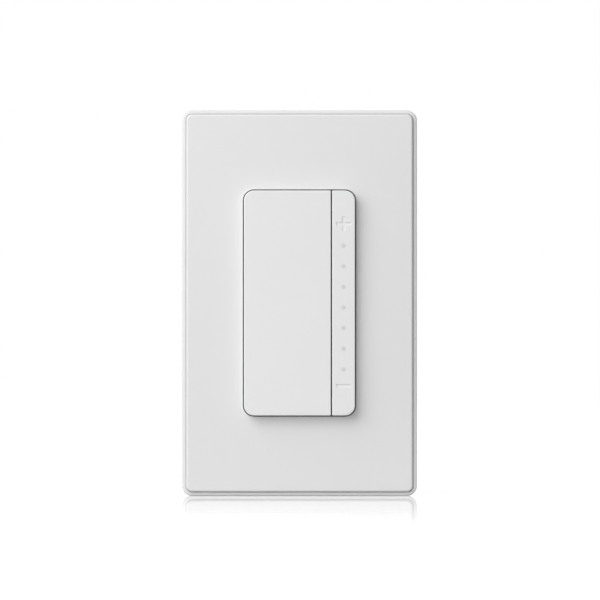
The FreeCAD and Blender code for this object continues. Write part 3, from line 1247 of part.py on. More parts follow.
def make_terminals():
    clamps = Piece("clamp_plates")
    wide, long = "bay_tall - 2*terminal_room", "bay_long - 2*terminal_room"
    for name, side, up in BAYS:
        height = signed(up, "bay_up")
        hole = disc("side_screw + pin_room", "-bay_middle", height)
        terminal = Piece(f"{name}_terminal")
        level = across_from(side, "bay_floor", "terminal_thick")
        terminal.pad("side", level, "terminal_thick",
                     rect(long, wide, "-bay_middle", height, "0.1*bay_tall"), hole)
        tail_end = "bay_front + 2*terminal_room"
        terminal.pad("side", level, "terminal_thick",
                     rect(f"{tail_end} - power_back", "tail_wide", f"-(power_back + {tail_end})/2", height))
        clamps.pad("side", across_from(side, "clamp_at", "terminal_thick"), "terminal_thick",
                   rect("clamp_side", "clamp_side", "-bay_middle", height, "0.1*clamp_side"), hole)
        screw = Piece(f"{name}_screw")
        head, tip = "terminal_head_at", "bay_floor - terminal_screw_long"
        top = f"{head} + terminal_head_tall"
        points = [(top, "0"), (top, "0.85*terminal_head"), (f"{top} - 0.3*terminal_head_tall", "terminal_head"),
                  (head, "terminal_head"), (head, "side_screw"), (tip, "side_screw"), (tip, "0")]
        turned = [(signed(side, across), radius) for across, radius in points]
        screw.turn_across(turned, height, "-bay_middle")


make_sub_plate()
make_cover_plate()
make_sub_plate_screws()
make_front_frame()
make_main_paddle()
make_level_bar()
make_light_guide()
make_return_springs()
make_control_board()
make_control_board_screws()
make_main_switch()
make_level_switches()
make_level_lights()
make_radio()
make_driver_chip()
make_link()
make_yoke()
make_wall_box_screws()
make_ground_screw()
make_rear_housing()
make_housing_screws()
make_insulator_tray()
make_power_board()
make_transistors()
make_choke()
make_capacitors()
make_transformer()
make_varistor()
make_fuse()
make_terminals()

doc.recompute()
for item in doc.Objects:
    if {"Invalid", "Error"} & set(item.State):
        raise RuntimeError(f"{item.Name} did not build")
os.makedirs("parts", exist_ok=True)
for node in nodes:
    if node.Shape.isNull() or not node.Shape.isValid() or not node.Shape.Solids:
        raise RuntimeError(f"{node.Label} has no valid solid")
for node in nodes:
    node.Shape.exportStep(f"parts/{node.Label}.step")
print(f"{len(nodes)} nodes, {sum(len(node.Shape.Solids) for node in nodes)} solids")
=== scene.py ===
"""Looks of a smart dimmer switch: a press paddle and a level bar in a screwless wall plate.

Each sub-assembly is a class that builds its own meshes and dresses its nodes. Lengths in the classes are
millimetres and the meshes are metres. X runs across the switch, Z up, and its face looks along -Y.
"""
import json
import logging
import math
from collections.abc import Callable
from dataclasses import dataclass, field
from enum import Enum

import bpy
import numpy as np
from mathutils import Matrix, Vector

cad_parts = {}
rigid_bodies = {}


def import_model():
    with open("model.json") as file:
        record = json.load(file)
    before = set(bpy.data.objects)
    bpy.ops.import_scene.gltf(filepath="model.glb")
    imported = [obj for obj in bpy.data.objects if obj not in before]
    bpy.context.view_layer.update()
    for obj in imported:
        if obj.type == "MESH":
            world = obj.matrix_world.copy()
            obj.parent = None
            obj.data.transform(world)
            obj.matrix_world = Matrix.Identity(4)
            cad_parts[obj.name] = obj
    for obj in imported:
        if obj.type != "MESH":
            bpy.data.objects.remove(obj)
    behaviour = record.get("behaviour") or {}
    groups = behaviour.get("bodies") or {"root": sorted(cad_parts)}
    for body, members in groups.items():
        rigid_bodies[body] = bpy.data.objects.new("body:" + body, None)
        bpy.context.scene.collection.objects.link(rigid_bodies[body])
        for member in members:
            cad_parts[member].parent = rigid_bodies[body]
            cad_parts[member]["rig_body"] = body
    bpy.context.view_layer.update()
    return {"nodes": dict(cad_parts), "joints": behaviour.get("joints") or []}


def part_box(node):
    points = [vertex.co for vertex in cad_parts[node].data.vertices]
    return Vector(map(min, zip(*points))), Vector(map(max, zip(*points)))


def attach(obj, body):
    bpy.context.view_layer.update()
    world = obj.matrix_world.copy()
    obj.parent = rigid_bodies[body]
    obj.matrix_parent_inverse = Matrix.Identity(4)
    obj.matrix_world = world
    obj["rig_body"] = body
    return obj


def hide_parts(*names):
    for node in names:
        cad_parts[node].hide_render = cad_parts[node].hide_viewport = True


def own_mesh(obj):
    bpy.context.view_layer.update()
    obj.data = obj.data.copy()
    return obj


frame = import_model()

MM = 0.001
LOG = logging.getLogger("dimmer")
WHITE = (1.0, 1.0, 1.0, 1.0)
CREASE = 35.0  # edges that turn by more degrees than this stay sharp
WIRE_CREASE = 60.0  # the same on wound wire
ABOVE = 0.5  # how far a cutter stands out of the face that it cuts
LARGE_FIRST = 100  # lets the large faces set the normals
MIX_ENDS, MIX_OUT = (6, 7), 2  # a Mix node's sockets for two colours and for what comes of them

Colour = tuple[float, float, float]
Points = np.ndarray
Piece = bpy.types.Object


@dataclass(frozen=True)
class Value:
    """A shader socket that takes part in Python sums: each operator adds its Math node."""

    sheet: "Sheet"
    socket: bpy.types.NodeSocket | None

    def maths(self, operation: str, *others: "Value | float") -> "Value":
        """One Math node whose first input is this value."""
        return self.sheet.maths(operation, self, *others)

    def __add__(self, other: "Value | float") -> "Value":
        """This plus other."""
        return self.maths("ADD", other)

    __radd__ = __add__

    def __sub__(self, other: "Value | float") -> "Value":
        """This less other."""
        return self.maths("SUBTRACT", other)

    def __rsub__(self, other: float) -> "Value":
        """Other less this."""
        return self.sheet.maths("SUBTRACT", other, self)

    def __mul__(self, other: "Value | float") -> "Value":
        """This times other."""
        return self.maths("MULTIPLY", other)

    __rmul__ = __mul__

    def __truediv__(self, other: "Value | float") -> "Value":
        """This over other."""
        return self.maths("DIVIDE", other)

    def __rtruediv__(self, other: float) -> "Value":
        """Other over this."""
        return self.sheet.maths("DIVIDE", other, self)

    def reach(self, other: "Value") -> "Value":
        """The root of this squared plus other squared."""
        return (self * self + other * other).maths("SQRT")

    def fraction(self) -> "Value":
        """What is left of this past its whole number."""
        return self.maths("FRACT")

    def over(self, edge: float) -> "Value":
        """1 where this is greater than edge, and else 0."""
        return self.maths("GREATER_THAN", edge)

    def ramp(self, low: float, high: float) -> "Value":
        """A smooth step: 0 up to low, 1 from high on, and eased at both ends."""
        inputs = {0: self, 1: low, 2: high, 3: 0.0, 4: 1.0}
        return self.sheet.node("ShaderNodeMapRange", {"interpolation_type": "SMOOTHSTEP"}, inputs)


class Sheet:
    """The node sheet of one material or of the world."""

    def __init__(self, owner: bpy.types.ID) -> None:
        """Turns on the nodes of a material or of the world, and empties them.

        Args:
            owner: the material or the world.
        """
        owner.use_nodes = True
        self.tree: bpy.types.NodeTree = owner.node_tree
        self.tree.nodes.clear()

    def node(self, kind: str, settings: dict | None = None, inputs: dict | None = None,
             output: int | str = 0) -> Value:
        """Adds any node.

        Args:
            kind: the node's type.
            settings: what is set on the node itself, before its sockets.
            inputs: values or links of its sockets, by name or number.
            output: the output socket that is wanted.

        Returns:
            That output.
        """
        made = self.tree.nodes.new(kind)
        for key, setting in (settings or {}).items():
            setattr(made, key, setting)
        for key, value in (inputs or {}).items():
            if isinstance(value, Value):
                self.tree.links.new(value.socket, made.inputs[key])
            else:
                made.inputs[key].default_value = value
        return Value(self, made.outputs[output] if made.outputs else None)

    def maths(self, operation: str, *values: Value | float) -> Value:
        """One Math node with these inputs, in order."""
        return self.node("ShaderNodeMath", {"operation": operation}, dict(enumerate(values)))

    def place(self, *stretch: float) -> Value:
        """Object coordinates in millimetres.

        Args:
            stretch: how much finer the pattern gets along X, Y and Z, or nothing for 1, 1 and 1.

        Returns:
            The coordinates as a vector.
        """
        scale = [1.0 / MM * share for share in (stretch or (1.0, 1.0, 1.0))]
        at = self.node("ShaderNodeTexCoord", output="Object")
        return self.node("ShaderNodeMapping", {"vector_type": "POINT"}, {"Vector": at, "Scale": scale})

    def axis(self, place: Value, letter: str) -> Value:
        """A place's X, Y or Z."""
        return self.node("ShaderNodeSeparateXYZ", None, {0: place}, letter)

    def noise(self, place: Value, size: float, detail: float = 3.0, rough: float = 0.5) -> Value:
        """Noise from 0 to 1: a cloud's size in millimetres, and how many finer layers and how strong."""
        inputs = {"Vector": place, "Scale": 1.0 / size, "Detail": detail, "Roughness": rough}
        return self.node("ShaderNodeTexNoise", {"noise_dimensions": "3D"}, inputs, "Fac")

    def cells(self, place: Value, size: float, feature: str = "F1", distance: str = "EUCLIDEAN",
              scatter: float = 1.0) -> Value:
        """Distance to the nearest of scattered points.

        Args:
            place: coordinates in millimetres.
            size: how far apart the points lie, in millimetres.
            feature: F1 for the point itself, DISTANCE_TO_EDGE for its cell's wall.
            distance: how it is measured, such as CHEBYCHEV for square cells.
            scatter: 0 for points in rows, and 1 for points at random.

        Returns:
            The distance, in cells.
        """
        settings = {"feature": feature, "distance": distance}
        inputs = {"Vector": place, "Scale": 1.0 / size, "Randomness": scatter}
        return self.node("ShaderNodeTexVoronoi", settings, inputs, "Distance")

    def blend(self, share: Value | float, *ends: Value | Colour) -> Value:
        """Two colours mixed, with a share from 0 to 1 of the second."""
        colours = {key: end if isinstance(end, Value) else (*end, 1.0) for key, end in zip(MIX_ENDS, ends)}
        return self.node("ShaderNodeMix", {"data_type": "RGBA"}, {0: share, **colours}, MIX_OUT)

    def painted_hollow_shade(self, reach: float = 1.2) -> Value:
        """Ambient occlusion of the piece's own walls within a reach, as a mask for painted shade: 0 in the
        open, 1 in a corner.
        """
        settings, inputs = {"samples": 8, "only_local": True}, {"Distance": reach * MM}
        # painted shade: this mask darkens colour where the piece's own walls shut light out
        return 1 - self.node("ShaderNodeAmbientOcclusion", settings, inputs, "AO").ramp(0.3, 0.85)

    def bump(self, height: Value, deep: float) -> Value:
        """The normal of a height from 0 to 1, where 1 stands up so many millimetres."""
        return self.node("ShaderNodeBump", None, {"Height": height, "Distance": deep * MM, "Strength": 1.0})


@dataclass(frozen=True)
class Finish:
    """What every finish has: its name, its colour and how rough it is."""

    name: str
    colour: Colour
    rough: float = 0.45

    def shade(self, share: float) -> Colour:
        """The colour, dimmed to a share of itself."""
        return tuple(channel * share for channel in self.colour)

    def surface(self, sheet: Sheet) -> dict:
        """The shader's inputs for this finish, by socket name."""
        raise NotImplementedError

    def material(self) -> bpy.types.Material:
        """The material, made when it is first wanted.

        Returns:
            The material of this name.
        """
        name = "finish_" + self.name
        made = bpy.data.materials.get(name)
        if made is None:
            made = bpy.data.materials.new(name)
            sheet = Sheet(made)
            shader = sheet.node("ShaderNodeBsdfPrincipled", None, self.surface(sheet))
            sheet.node("ShaderNodeOutputMaterial", None, {"Surface": shader})
        return made


@dataclass(frozen=True)
class MouldedPlastic(Finish):
    """Injection-moulded plastic: a fine spark-eroded grain and faint clouds of tone."""

    grain: float = 0.16
    grain_deep: float = 0.004
    clouds: float = 0.012
    cloud_wide: float = 26.0
    shine: float = 0.45
    index: float = 1.5

    def surface(self, sheet: Sheet) -> dict:
        """Tone varies by clouds and speckle, roughness by speckle; the grain is a bump of noise and cells.

        Args:
            sheet: the material's node sheet.

        Returns:
            The shader's inputs, by socket name.
        """
        place = sheet.place()
        cloud = sheet.noise(place, self.cloud_wide, 2.0)
        speckle = sheet.noise(place, self.grain * 2.5, 2.0)
        tone = sheet.blend(cloud * 0.7 + speckle * 0.3, self.shade(1.0 - 2.0 * self.clouds), self.colour)
        grain = sheet.noise(place, self.grain, 2.0, 0.6) * 0.7 + sheet.cells(place, self.grain * 1.7) * 0.3
        return {"Base Color": tone, "Roughness": self.rough - 0.05 + 0.1 * speckle,
                "Normal": sheet.bump(grain, self.grain_deep), "Specular IOR Level": self.shine,
                "IOR": self.index}


@dataclass(frozen=True)
class ClearedPlastic(Finish):
    """Clouded light-pipe plastic: light goes some way into it, and fine haze varies its tone."""

    depth: float = 0.6
    soft: float = 0.35
    haze_wide: float = 0.7
    haze_deep: float = 0.004

    def surface(self, sheet: Sheet) -> dict:
        """Tone varies by haze, and subsurface light softens it.

        Args:
            sheet: the material's node sheet.

        Returns:
            The shader's inputs, by socket name.
        """
        haze = sheet.noise(sheet.place(), self.haze_wide)
        return {"Base Color": sheet.blend(haze, self.shade(0.9), self.colour),
                "Roughness": self.rough + 0.08 * haze, "Subsurface Weight": self.soft,
                "Subsurface Radius": WHITE[:3], "Subsurface Scale": self.depth * MM,
                "Normal": sheet.bump(haze, self.haze_deep)}


@dataclass(frozen=True)
class RolledMetal(Finish):
    """Rolled and plated sheet: long faint rolling lines, cloudy plating, rare scratches, and painted shade in
    its hollows.
    """

    lines: tuple[float, float, float] = (0.12, 0.12, 1.0)
    line_wide: float = 0.22
    cloud: float = 0.16
    cloud_wide: float = 5.0
    scratches: tuple[float, float, float] = (0.5, 0.5, 0.12)
    scratch_apart: float = 3.0
    relief: float = 0.006

    def surface(self, sheet: Sheet) -> dict:
        """Rolling lines are stretched noise, scratches are the walls of stretched cells, and ambient
        occlusion paints shade into the hollows.

        Args:
            sheet: the material's node sheet.

        Returns:
            The shader's inputs, by socket name.
        """
        rolled = sheet.noise(sheet.place(*self.lines), self.line_wide, 4.0, 0.6)
        plating = sheet.noise(sheet.place(), self.cloud_wide, 4.0, 0.6)
        walls = sheet.cells(sheet.place(*self.scratches), self.scratch_apart, "DISTANCE_TO_EDGE")
        tone = sheet.blend(plating * 0.6 + rolled * 0.4, self.shade(1 - 2 * self.cloud), self.colour)
        # painted shade: the base colour darkens to three tenths of itself where the piece's own walls shut a
        # spot in
        return {"Base Color": sheet.blend(sheet.painted_hollow_shade(), tone, self.shade(0.3)),
                "Metallic": 1.0 - 0.12 * plating.ramp(0.55, 0.8),
                "Roughness": self.rough - 0.1 + 0.14 * plating + 0.1 * rolled,
                "Normal": sheet.bump(rolled * 0.8 + (1 - walls.ramp(0.0, 0.02)) * 0.2, self.relief)}


@dataclass(frozen=True)
class TurnedMetal(Finish):
    """Small turned or headed metal: plated, with fine tumbling marks and painted shade in its hollows."""

    tumble: float = 0.5
    cloud_wide: float = 1.6
    relief: float = 0.004

    def surface(self, sheet: Sheet) -> dict:
        """Tumbling marks are small cells, plating clouds vary tone and roughness, and painted shade darkens
        the hollows, which are rougher too.

        Args:
            sheet: the material's node sheet.

        Returns:
            The shader's inputs, by socket name.
        """
        place, painted_hollow_shade = sheet.place(), sheet.painted_hollow_shade()
        marks = sheet.cells(place, self.tumble)
        plating = sheet.noise(place, self.cloud_wide, 4.0, 0.6)
        tone = sheet.blend(plating * 0.7 + marks * 0.3, self.shade(0.72), self.colour)
        # painted shade: from ambient occlusion, the base colour darkens to 0.22 of itself in the hollows
        return {"Base Color": sheet.blend(painted_hollow_shade, tone, self.shade(0.22)), "Metallic": 1.0,
                "Roughness": self.rough + 0.12 * plating - 0.05 * marks + 0.2 * painted_hollow_shade,
                "Normal": sheet.bump(marks * 0.5 + plating * 0.5, self.relief)}


@dataclass(frozen=True)
class Laminate(Finish):
    """Circuit board: solder mask over raised tracks, with bare pads and plated holes."""

    track: Colour = (0.028, 0.125, 0.055)
    pad: Colour = (0.82, 0.66, 0.30)
    hole: Colour = (0.02, 0.02, 0.02)
    square: float = 3.1
    rings_each: float = 5.0
    pitch: float = 2.54
    pad_reach: float = 0.17
    hole_reach: float = 0.08
    relief: float = 0.035

    def surface(self, sheet: Sheet) -> dict:
        """Tracks are square rings round scattered points, thinned out by clouds; pads are dots on a grid.

        Args:
            sheet: the material's node sheet.

        Returns:
            The shader's inputs, by socket name.
        """
        place = sheet.place()
        square = sheet.cells(place, self.square, distance="CHEBYCHEV", scatter=0.75)
        tracks = (square * self.rings_each).fraction().over(0.55) * sheet.noise(place, 6.0, 1.0).over(0.46)
        across, up = ((sheet.axis(place, letter) / self.pitch).fraction() - 0.5 for letter in "XZ")
        reach, chosen = across.reach(up), sheet.noise(place, 4.0, 0.0).over(0.56)
        pads, holes = ((1 - reach.over(edge)) * chosen for edge in (self.pad_reach, self.hole_reach))
        mask = sheet.blend(tracks * 0.8, self.colour, self.track)
        return {"Base Color": sheet.blend(holes, sheet.blend(pads, mask, self.pad), self.hole),
                "Metallic": pads * (1 - holes), "Roughness": self.rough - 0.12 * pads,
                "Coat Weight": 0.5 * (1 - pads), "Normal": sheet.bump(tracks * 0.5 + pads * 0.3, self.relief)}


@dataclass(frozen=True)
class Enamel(Finish):
    """Enamelled copper wire, or lacquer and coated tape: glossy, with slow changes of tone."""

    metal: float = 0.85
    slow_wide: float = 3.0
    fine_wide: float = 0.3
    relief: float = 0.004

    def surface(self, sheet: Sheet) -> dict:
        """Tone and gloss vary with a slow and a fine noise.

        Args:
            sheet: the material's node sheet.

        Returns:
            The shader's inputs, by socket name.
        """
        place = sheet.place()
        slow, fine = sheet.noise(place, self.slow_wide), sheet.noise(place, self.fine_wide, 2.0)
        return {"Base Color": sheet.blend(slow * 0.7 + fine * 0.3, self.shade(0.7), self.colour),
                "Metallic": self.metal, "Roughness": self.rough + 0.15 * fine,
                "Coat Weight": 0.35 + 0.3 * slow, "Normal": sheet.bump(fine, self.relief)}


@dataclass(frozen=True)
class Sleeve(Finish):
    """Shrink sleeve round a metal can: the can's top is bare, and a pale band runs down one side."""

    middle: tuple[float, float] = (10.0, 23.6)
    bare: float = 3.9
    band: float = 4.2
    pale: Colour = (0.42, 0.44, 0.48)
    dull: Colour = (0.52, 0.52, 0.53)
    bright: Colour = (0.68, 0.68, 0.69)
    relief: float = 0.004

    def surface(self, sheet: Sheet) -> dict:
        """The bare top is a disc round the can's axis, and the band lies beyond a distance to one side.

        Args:
            sheet: the material's node sheet.

        Returns:
            The shader's inputs, by socket name.
        """
        place = sheet.place()
        across, up = (sheet.axis(place, letter) - at for letter, at in zip("XZ", self.middle))
        bare = 1 - across.reach(up).over(self.bare)
        slow, fine = sheet.noise(place, 3.0), sheet.noise(place, 0.4, 2.0)
        sleeve = sheet.blend(slow, self.shade(0.7), self.colour)
        film = sheet.blend((0 - across).over(self.band), sleeve, self.pale)
        return {"Base Color": sheet.blend(bare, film, sheet.blend(fine, self.dull, self.bright)),
                "Metallic": bare, "Roughness": self.rough + 0.15 * fine, "Coat Weight": (1 - bare) * 0.4,
                "Normal": sheet.bump(fine, self.relief)}


@dataclass(frozen=True)
class Pressed(Finish):
    """Pressed or sintered stuff such as ferrite, fibre board, pad rubber and glazed ceramic."""

    grit: float = 0.25
    grit_deep: float = 0.02
    fleck: Colour = (0.5, 0.5, 0.5)
    flecks: float = 0.1
    cloud_wide: float = 4.0

    def surface(self, sheet: Sheet) -> dict:
        """Grit is a fine noise, flecks stand where it peaks, and clouds vary the tone.

        Args:
            sheet: the material's node sheet.

        Returns:
            The shader's inputs, by socket name.
        """
        place = sheet.place()
        grit, cloud = sheet.noise(place, self.grit, 3.0, 0.65), sheet.noise(place, self.cloud_wide)
        plain = sheet.blend(cloud, self.shade(0.8), self.colour)
        return {"Base Color": sheet.blend(grit.ramp(0.58, 0.75) * self.flecks, plain, self.fleck),
                "Roughness": self.rough + 0.1 * cloud, "Normal": sheet.bump(grit, self.grit_deep)}


FINISHES = {finish.name: finish for finish in (
    MouldedPlastic("plate_white", (0.79, 0.79, 0.79), 0.42),
    MouldedPlastic("paddle_white", (0.835, 0.835, 0.835), 0.40, grain=0.12, grain_deep=0.003),
    ClearedPlastic("guide_grey", (0.75, 0.75, 0.755), 0.35),
    MouldedPlastic("frame_grey", (0.42, 0.43, 0.44), 0.5),
    MouldedPlastic("housing_black", (0.022, 0.022, 0.024), 0.48, grain=0.22, grain_deep=0.012, clouds=0.12),
    Laminate("board_green", (0.009, 0.040, 0.021), 0.35),
    MouldedPlastic("switch_black", (0.03, 0.03, 0.03), 0.45, clouds=0.1),
    MouldedPlastic("chip_black", (0.025, 0.025, 0.027), 0.6, grain=0.1, grain_deep=0.006, clouds=0.15),
    ClearedPlastic("light_white", (0.85, 0.86, 0.82), 0.3),
    MouldedPlastic("baffle_white", (0.80, 0.80, 0.78), 0.55),
    RolledMetal("zinc_steel", (0.62, 0.63, 0.65), 0.36),
    RolledMetal("yoke_steel", (0.60, 0.61, 0.62), 0.36, lines=(1.0, 1.0, 0.06)),
    RolledMetal("shield_tin", (0.74, 0.74, 0.72), 0.28, lines=(0.08, 1.0, 1.0)),
    TurnedMetal("spring_steel", (0.58, 0.58, 0.60), 0.28, tumble=0.2),
    TurnedMetal("ground_green", (0.05, 0.33, 0.12), 0.34),
    RolledMetal("terminal_brass", (0.80, 0.62, 0.30), 0.3, lines=(1.0, 1.0, 0.1)),
    RolledMetal("clamp_steel", (0.66, 0.66, 0.64), 0.34, lines=(1.0, 0.1, 1.0)),
    TurnedMetal("silver_screw", (0.50, 0.50, 0.495), 0.24),
    Pressed("tray_fibre", (0.30, 0.27, 0.22), 0.75, fleck=(0.5, 0.46, 0.38), flecks=0.35),
    Pressed("pad_grey", (0.42, 0.44, 0.47), 0.8, fleck=(0.7, 0.7, 0.7), flecks=0.2),
    Pressed("core_dark", (0.035, 0.035, 0.038), 0.55, fleck=(0.2, 0.2, 0.21), flecks=0.4),
    Enamel("winding_copper", (0.72, 0.30, 0.11), 0.22),
    Sleeve("can_sleeve", (0.05, 0.07, 0.12), 0.3),
    Enamel("film_yellow", (0.75, 0.52, 0.06), 0.35, metal=0.0),
    Pressed("varistor_blue", (0.05, 0.13, 0.34), 0.3, grit=0.4, grit_deep=0.012, flecks=0.05),
    Pressed("fuse_brown", (0.24, 0.11, 0.05), 0.4, fleck=(0.4, 0.25, 0.15), flecks=0.15),
)}


def node_slot(node: str) -> str:
    """The material slot that the record gives a node, without the number that an import may add."""
    return frame["nodes"][node].data.materials[0].name.split(".")[0]


@dataclass(frozen=True)
class Box:
    """The box round one solid, in millimetres."""

    low: Points
    high: Points

    @property
    def middle(self) -> Points:
        """The middle of the box."""
        return (self.low + self.high) / 2

    @property
    def size(self) -> Points:
        """How long the box is each way."""
        return self.high - self.low


def node_box(node: str) -> Box:
    """The box round a whole CAD node."""
    return Box(*(np.array(corner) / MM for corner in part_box(node)))


def merged(node: str) -> tuple[Points, Points]:
    """A CAD node's mesh with the corners that coincide made one point.

    Args:
        node: a CAD node's name.

    Returns:
        Its points in millimetres, and the three corner numbers of each triangle that still has three.
    """
    mesh = frame["nodes"][node].data
    corners = np.zeros(len(mesh.vertices) * 3)
    mesh.vertices.foreach_get("co", corners)
    faces = np.zeros(len(mesh.loops), int)
    mesh.loops.foreach_get("vertex_index", faces)
    points, same = np.unique(np.round(corners.reshape(-1, 3) / MM, 4), axis=0, return_inverse=True)
    faces = same.reshape(-1)[faces].reshape(-1, 3)
    whole = (faces != np.roll(faces, 1, axis=1)).all(axis=1)
    return points, faces[whole]


def solids(node: str) -> list[Box]:
    """The box of each separate solid of a CAD node.

    Each point takes the least label of the points that share a face with it, again and again, until no
    label changes; points of one label are one solid.

    Args:
        node: a CAD node's name.

    Returns:
        The boxes, from low to high and from left to right.
    """
    points, faces = merged(node)
    labels = np.arange(len(points))
    while True:
        least = labels[faces].min(axis=1)
        fresh = labels.copy()
        np.minimum.at(fresh, faces.ravel(), np.repeat(least, 3))
        fresh = fresh[fresh]
        if (fresh == labels).all():
            break
        labels = fresh
    found = [Box(points[labels == label].min(axis=0), points[labels == label].max(axis=0))
             for label in np.unique(labels)]
    return sorted(found, key=lambda box: tuple(np.round(box.middle[[2, 0, 1]], 2)))


def linked(name: str, data: bpy.types.ID) -> Piece:
    """A new object of a mesh, a lamp or a camera, linked to the scene.

    Args:
        name: the object's name.
        data: what it shows.

    Returns:
        The object.
    """
    made = bpy.data.objects.new(name, data)
    bpy.context.scene.collection.objects.link(made)
    return made


def smooth(mesh: bpy.types.Mesh, crease: float = CREASE) -> None:
    """Shades a mesh smooth, but for edges that turn by more than so many degrees."""
    mesh.shade_smooth()
    mesh.set_sharp_from_angle(angle=math.radians(crease))


@dataclass
class Surface:
    """Closed shells of points that become one mesh."""

    points: list[Points] = field(default_factory=list)
    faces: list[tuple[int, ...]] = field(default_factory=list)
    count: int = 0

    def add(self, points: Points, faces: list[Points]) -> None:
        """Adds one closed shell, turned so that its faces look outwards.

        The volume is a sixth of the sum, over its triangles, of each corner's product with the next two;
        where it is below nothing, every face is reversed.

        Args:
            points: its points, in millimetres.
            faces: arrays of corner numbers, three or four to a face.
        """
        triangles = np.concatenate([part[:, [0, i, i + 1]] for part in faces
                                    for i in range(1, part.shape[1] - 1)])
        first, second, third = (points[triangles[:, i]] for i in range(3))
        volume = np.einsum("ij,ij->i", first, np.cross(second, third)).sum()
        for part in faces:
            turned = part if volume > 0 else part[:, ::-1]
            self.faces += [tuple(face) for face in (turned + self.count).tolist()]
        self.points.append(points)
        self.count += len(points)

    def grid(self, grid: Points, ring: bool = False) -> None:
        """Adds a grid whose columns close round.

        A face joins each point to the next in its row and column. The first and last rows close on their
        own middles, or join each other in a ring.

        Args:
            grid: rows by columns by three, in millimetres.
            ring: whether the last row joins the first.
        """
        rows, columns = grid.shape[:2]
        number = np.arange(rows * columns).reshape(rows, columns)
        below = number if ring else number[:-1]
        above = np.roll(number, -1, 0) if ring else number[1:]
        quads = np.stack([below, np.roll(below, -1, 1), np.roll(above, -1, 1), above], -1).reshape(-1, 4)
        points = grid.reshape(-1, 3)
        if ring:
            self.add(points, [quads])
            return
        poles = np.array([grid[0].mean(axis=0), grid[-1].mean(axis=0)])
        start = np.stack([np.full(columns, len(points)), np.roll(number[0], -1), number[0]], -1)
        end = np.stack([np.full(columns, len(points) + 1), number[-1], np.roll(number[-1], -1)], -1)
        self.add(np.vstack([points, poles]), [quads, start, end])

    def piece(self, name: str, crease: float = CREASE) -> Piece:
        """Makes the object.

        Args:
            name: the piece's name.
            crease: edges that turn by more degrees than this stay sharp.

        Returns:
            The new object, linked to the scene.
        """
        mesh = bpy.data.meshes.new(name)
        mesh.from_pydata((np.vstack(self.points) * MM).tolist(), [], self.faces)
        smooth(mesh, crease)
        return linked(name, mesh)


def turn(count: int) -> Points:
    """So many angles once round a circle, in radians, without the last."""
    return np.linspace(0, 2 * math.pi, count, endpoint=False)


def superellipse(angle: Points, half: Points, power: float) -> Points:
    """Points round a box of two half widths, an ellipse at a power of 2 and squarer above."""
    # the cosine and sine of the angle, each to the power of 2 over power with its sign kept, times half
    spoke = np.stack([np.cos(angle), np.sin(angle)], -1)
    return np.sign(spoke) * np.abs(spoke) ** (2 / power) * half


def tube(path: Points, out: Points, radius: float, sides: int = 10) -> Points:
    """A round wire along a path.

    Each ring is the path's point plus the radius times the cosine and sine of an angle, along the outward
    vector made square to the path and along the vector square to both.

    Args:
        path: points along the middle, in millimetres.
        out: a vector at each point that isn't along the path.
        radius: the wire's radius.
        sides: how many points each ring has.

    Returns:
        A grid of rings.
    """
    along = np.gradient(path, axis=0)
    along /= np.linalg.norm(along, axis=1, keepdims=True)
    side = np.cross(along, out)
    side /= np.linalg.norm(side, axis=1, keepdims=True)
    up = np.cross(side, along)
    angle = turn(sides)[None, :, None]
    return path[:, None] + radius * (np.cos(angle) * up[:, None] + np.sin(angle) * side[:, None])


def prism(outline: Points, top: float, bottom: float, taper: float = 1.0) -> Points:
    """Two rings: an outline at one depth, and at another, where it is taper times as large."""
    rings = ((outline, top), (outline * taper, bottom))
    return np.stack([np.column_stack([ring, np.full(len(ring), depth)]) for ring, depth in rings])


def cross_outline(span: float, stroke: float) -> Points:
    """The outline of a plus sign: the corners of its four arms, in order.

    Args:
        span: from one arm's end to the other's.
        stroke: how wide an arm is.

    Returns:
        Twelve points about the origin.
    """
    far, near = span / 2, stroke / 2
    arm = np.array([(far, -near), (far, near), (near, near)])
    return np.vstack([arm @ np.array([(math.cos(a), math.sin(a)), (-math.sin(a), math.cos(a))])
                      for a in turn(4)])


def bar_outline(span: float, stroke: float) -> Points:
    """The outline of a minus sign: four corners about the origin."""
    return np.array([(span, -stroke), (span, stroke), (-span, stroke), (-span, -stroke)]) / 2


def dress(piece: Piece, slot: str, node: str) -> Piece:
    """Gives a piece its finish and its body.

    Args:
        piece: the new piece.
        slot: its material slot, which is its finish's name too.
        node: a CAD node on the same body.

    Returns:
        The piece.
    """
    piece.data.materials.clear()
    piece.data.materials.append(FINISHES[slot].material())
    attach(piece, frame["nodes"][node]["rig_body"])
    return piece


def stand_for(piece: Piece, node: str) -> Piece:
    """Puts a piece in a CAD node's place.

    Args:
        piece: the new piece.
        node: the node, whose finish and body the piece takes.

    Returns:
        The piece.
    """
    dress(piece, node_slot(node), node)
    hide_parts(node)
    return piece


def carved(piece: Piece, cutters: list[Surface], node: str) -> Piece:
    """Cuts closed shells out of a piece, so that it stands for a node.

    It is shaded so that its flat faces look flat and only its rounded edges turn.

    Args:
        piece: the piece that is cut.
        cutters: the shells, as one surface for each cut.
        node: the CAD node.

    Returns:
        The piece.
    """
    for shells in cutters:
        tool = shells.piece("cutter")
        cut = piece.modifiers.new("carve", "BOOLEAN")
        cut.operation, cut.solver, cut.object = "DIFFERENCE", "EXACT", tool
        bpy.context.view_layer.update()
        graph = bpy.context.evaluated_depsgraph_get()
        mesh = bpy.data.meshes.new_from_object(piece.evaluated_get(graph))
        piece.modifiers.clear()
        piece.data, spare = mesh, tool.data
        bpy.data.objects.remove(tool)
        bpy.data.meshes.remove(spare)
    smooth(piece.data)
    weigh = piece.modifiers.new("weigh normals", "WEIGHTED_NORMAL")
    weigh.keep_sharp, weigh.weight = True, LARGE_FIRST
    return stand_for(piece, node)


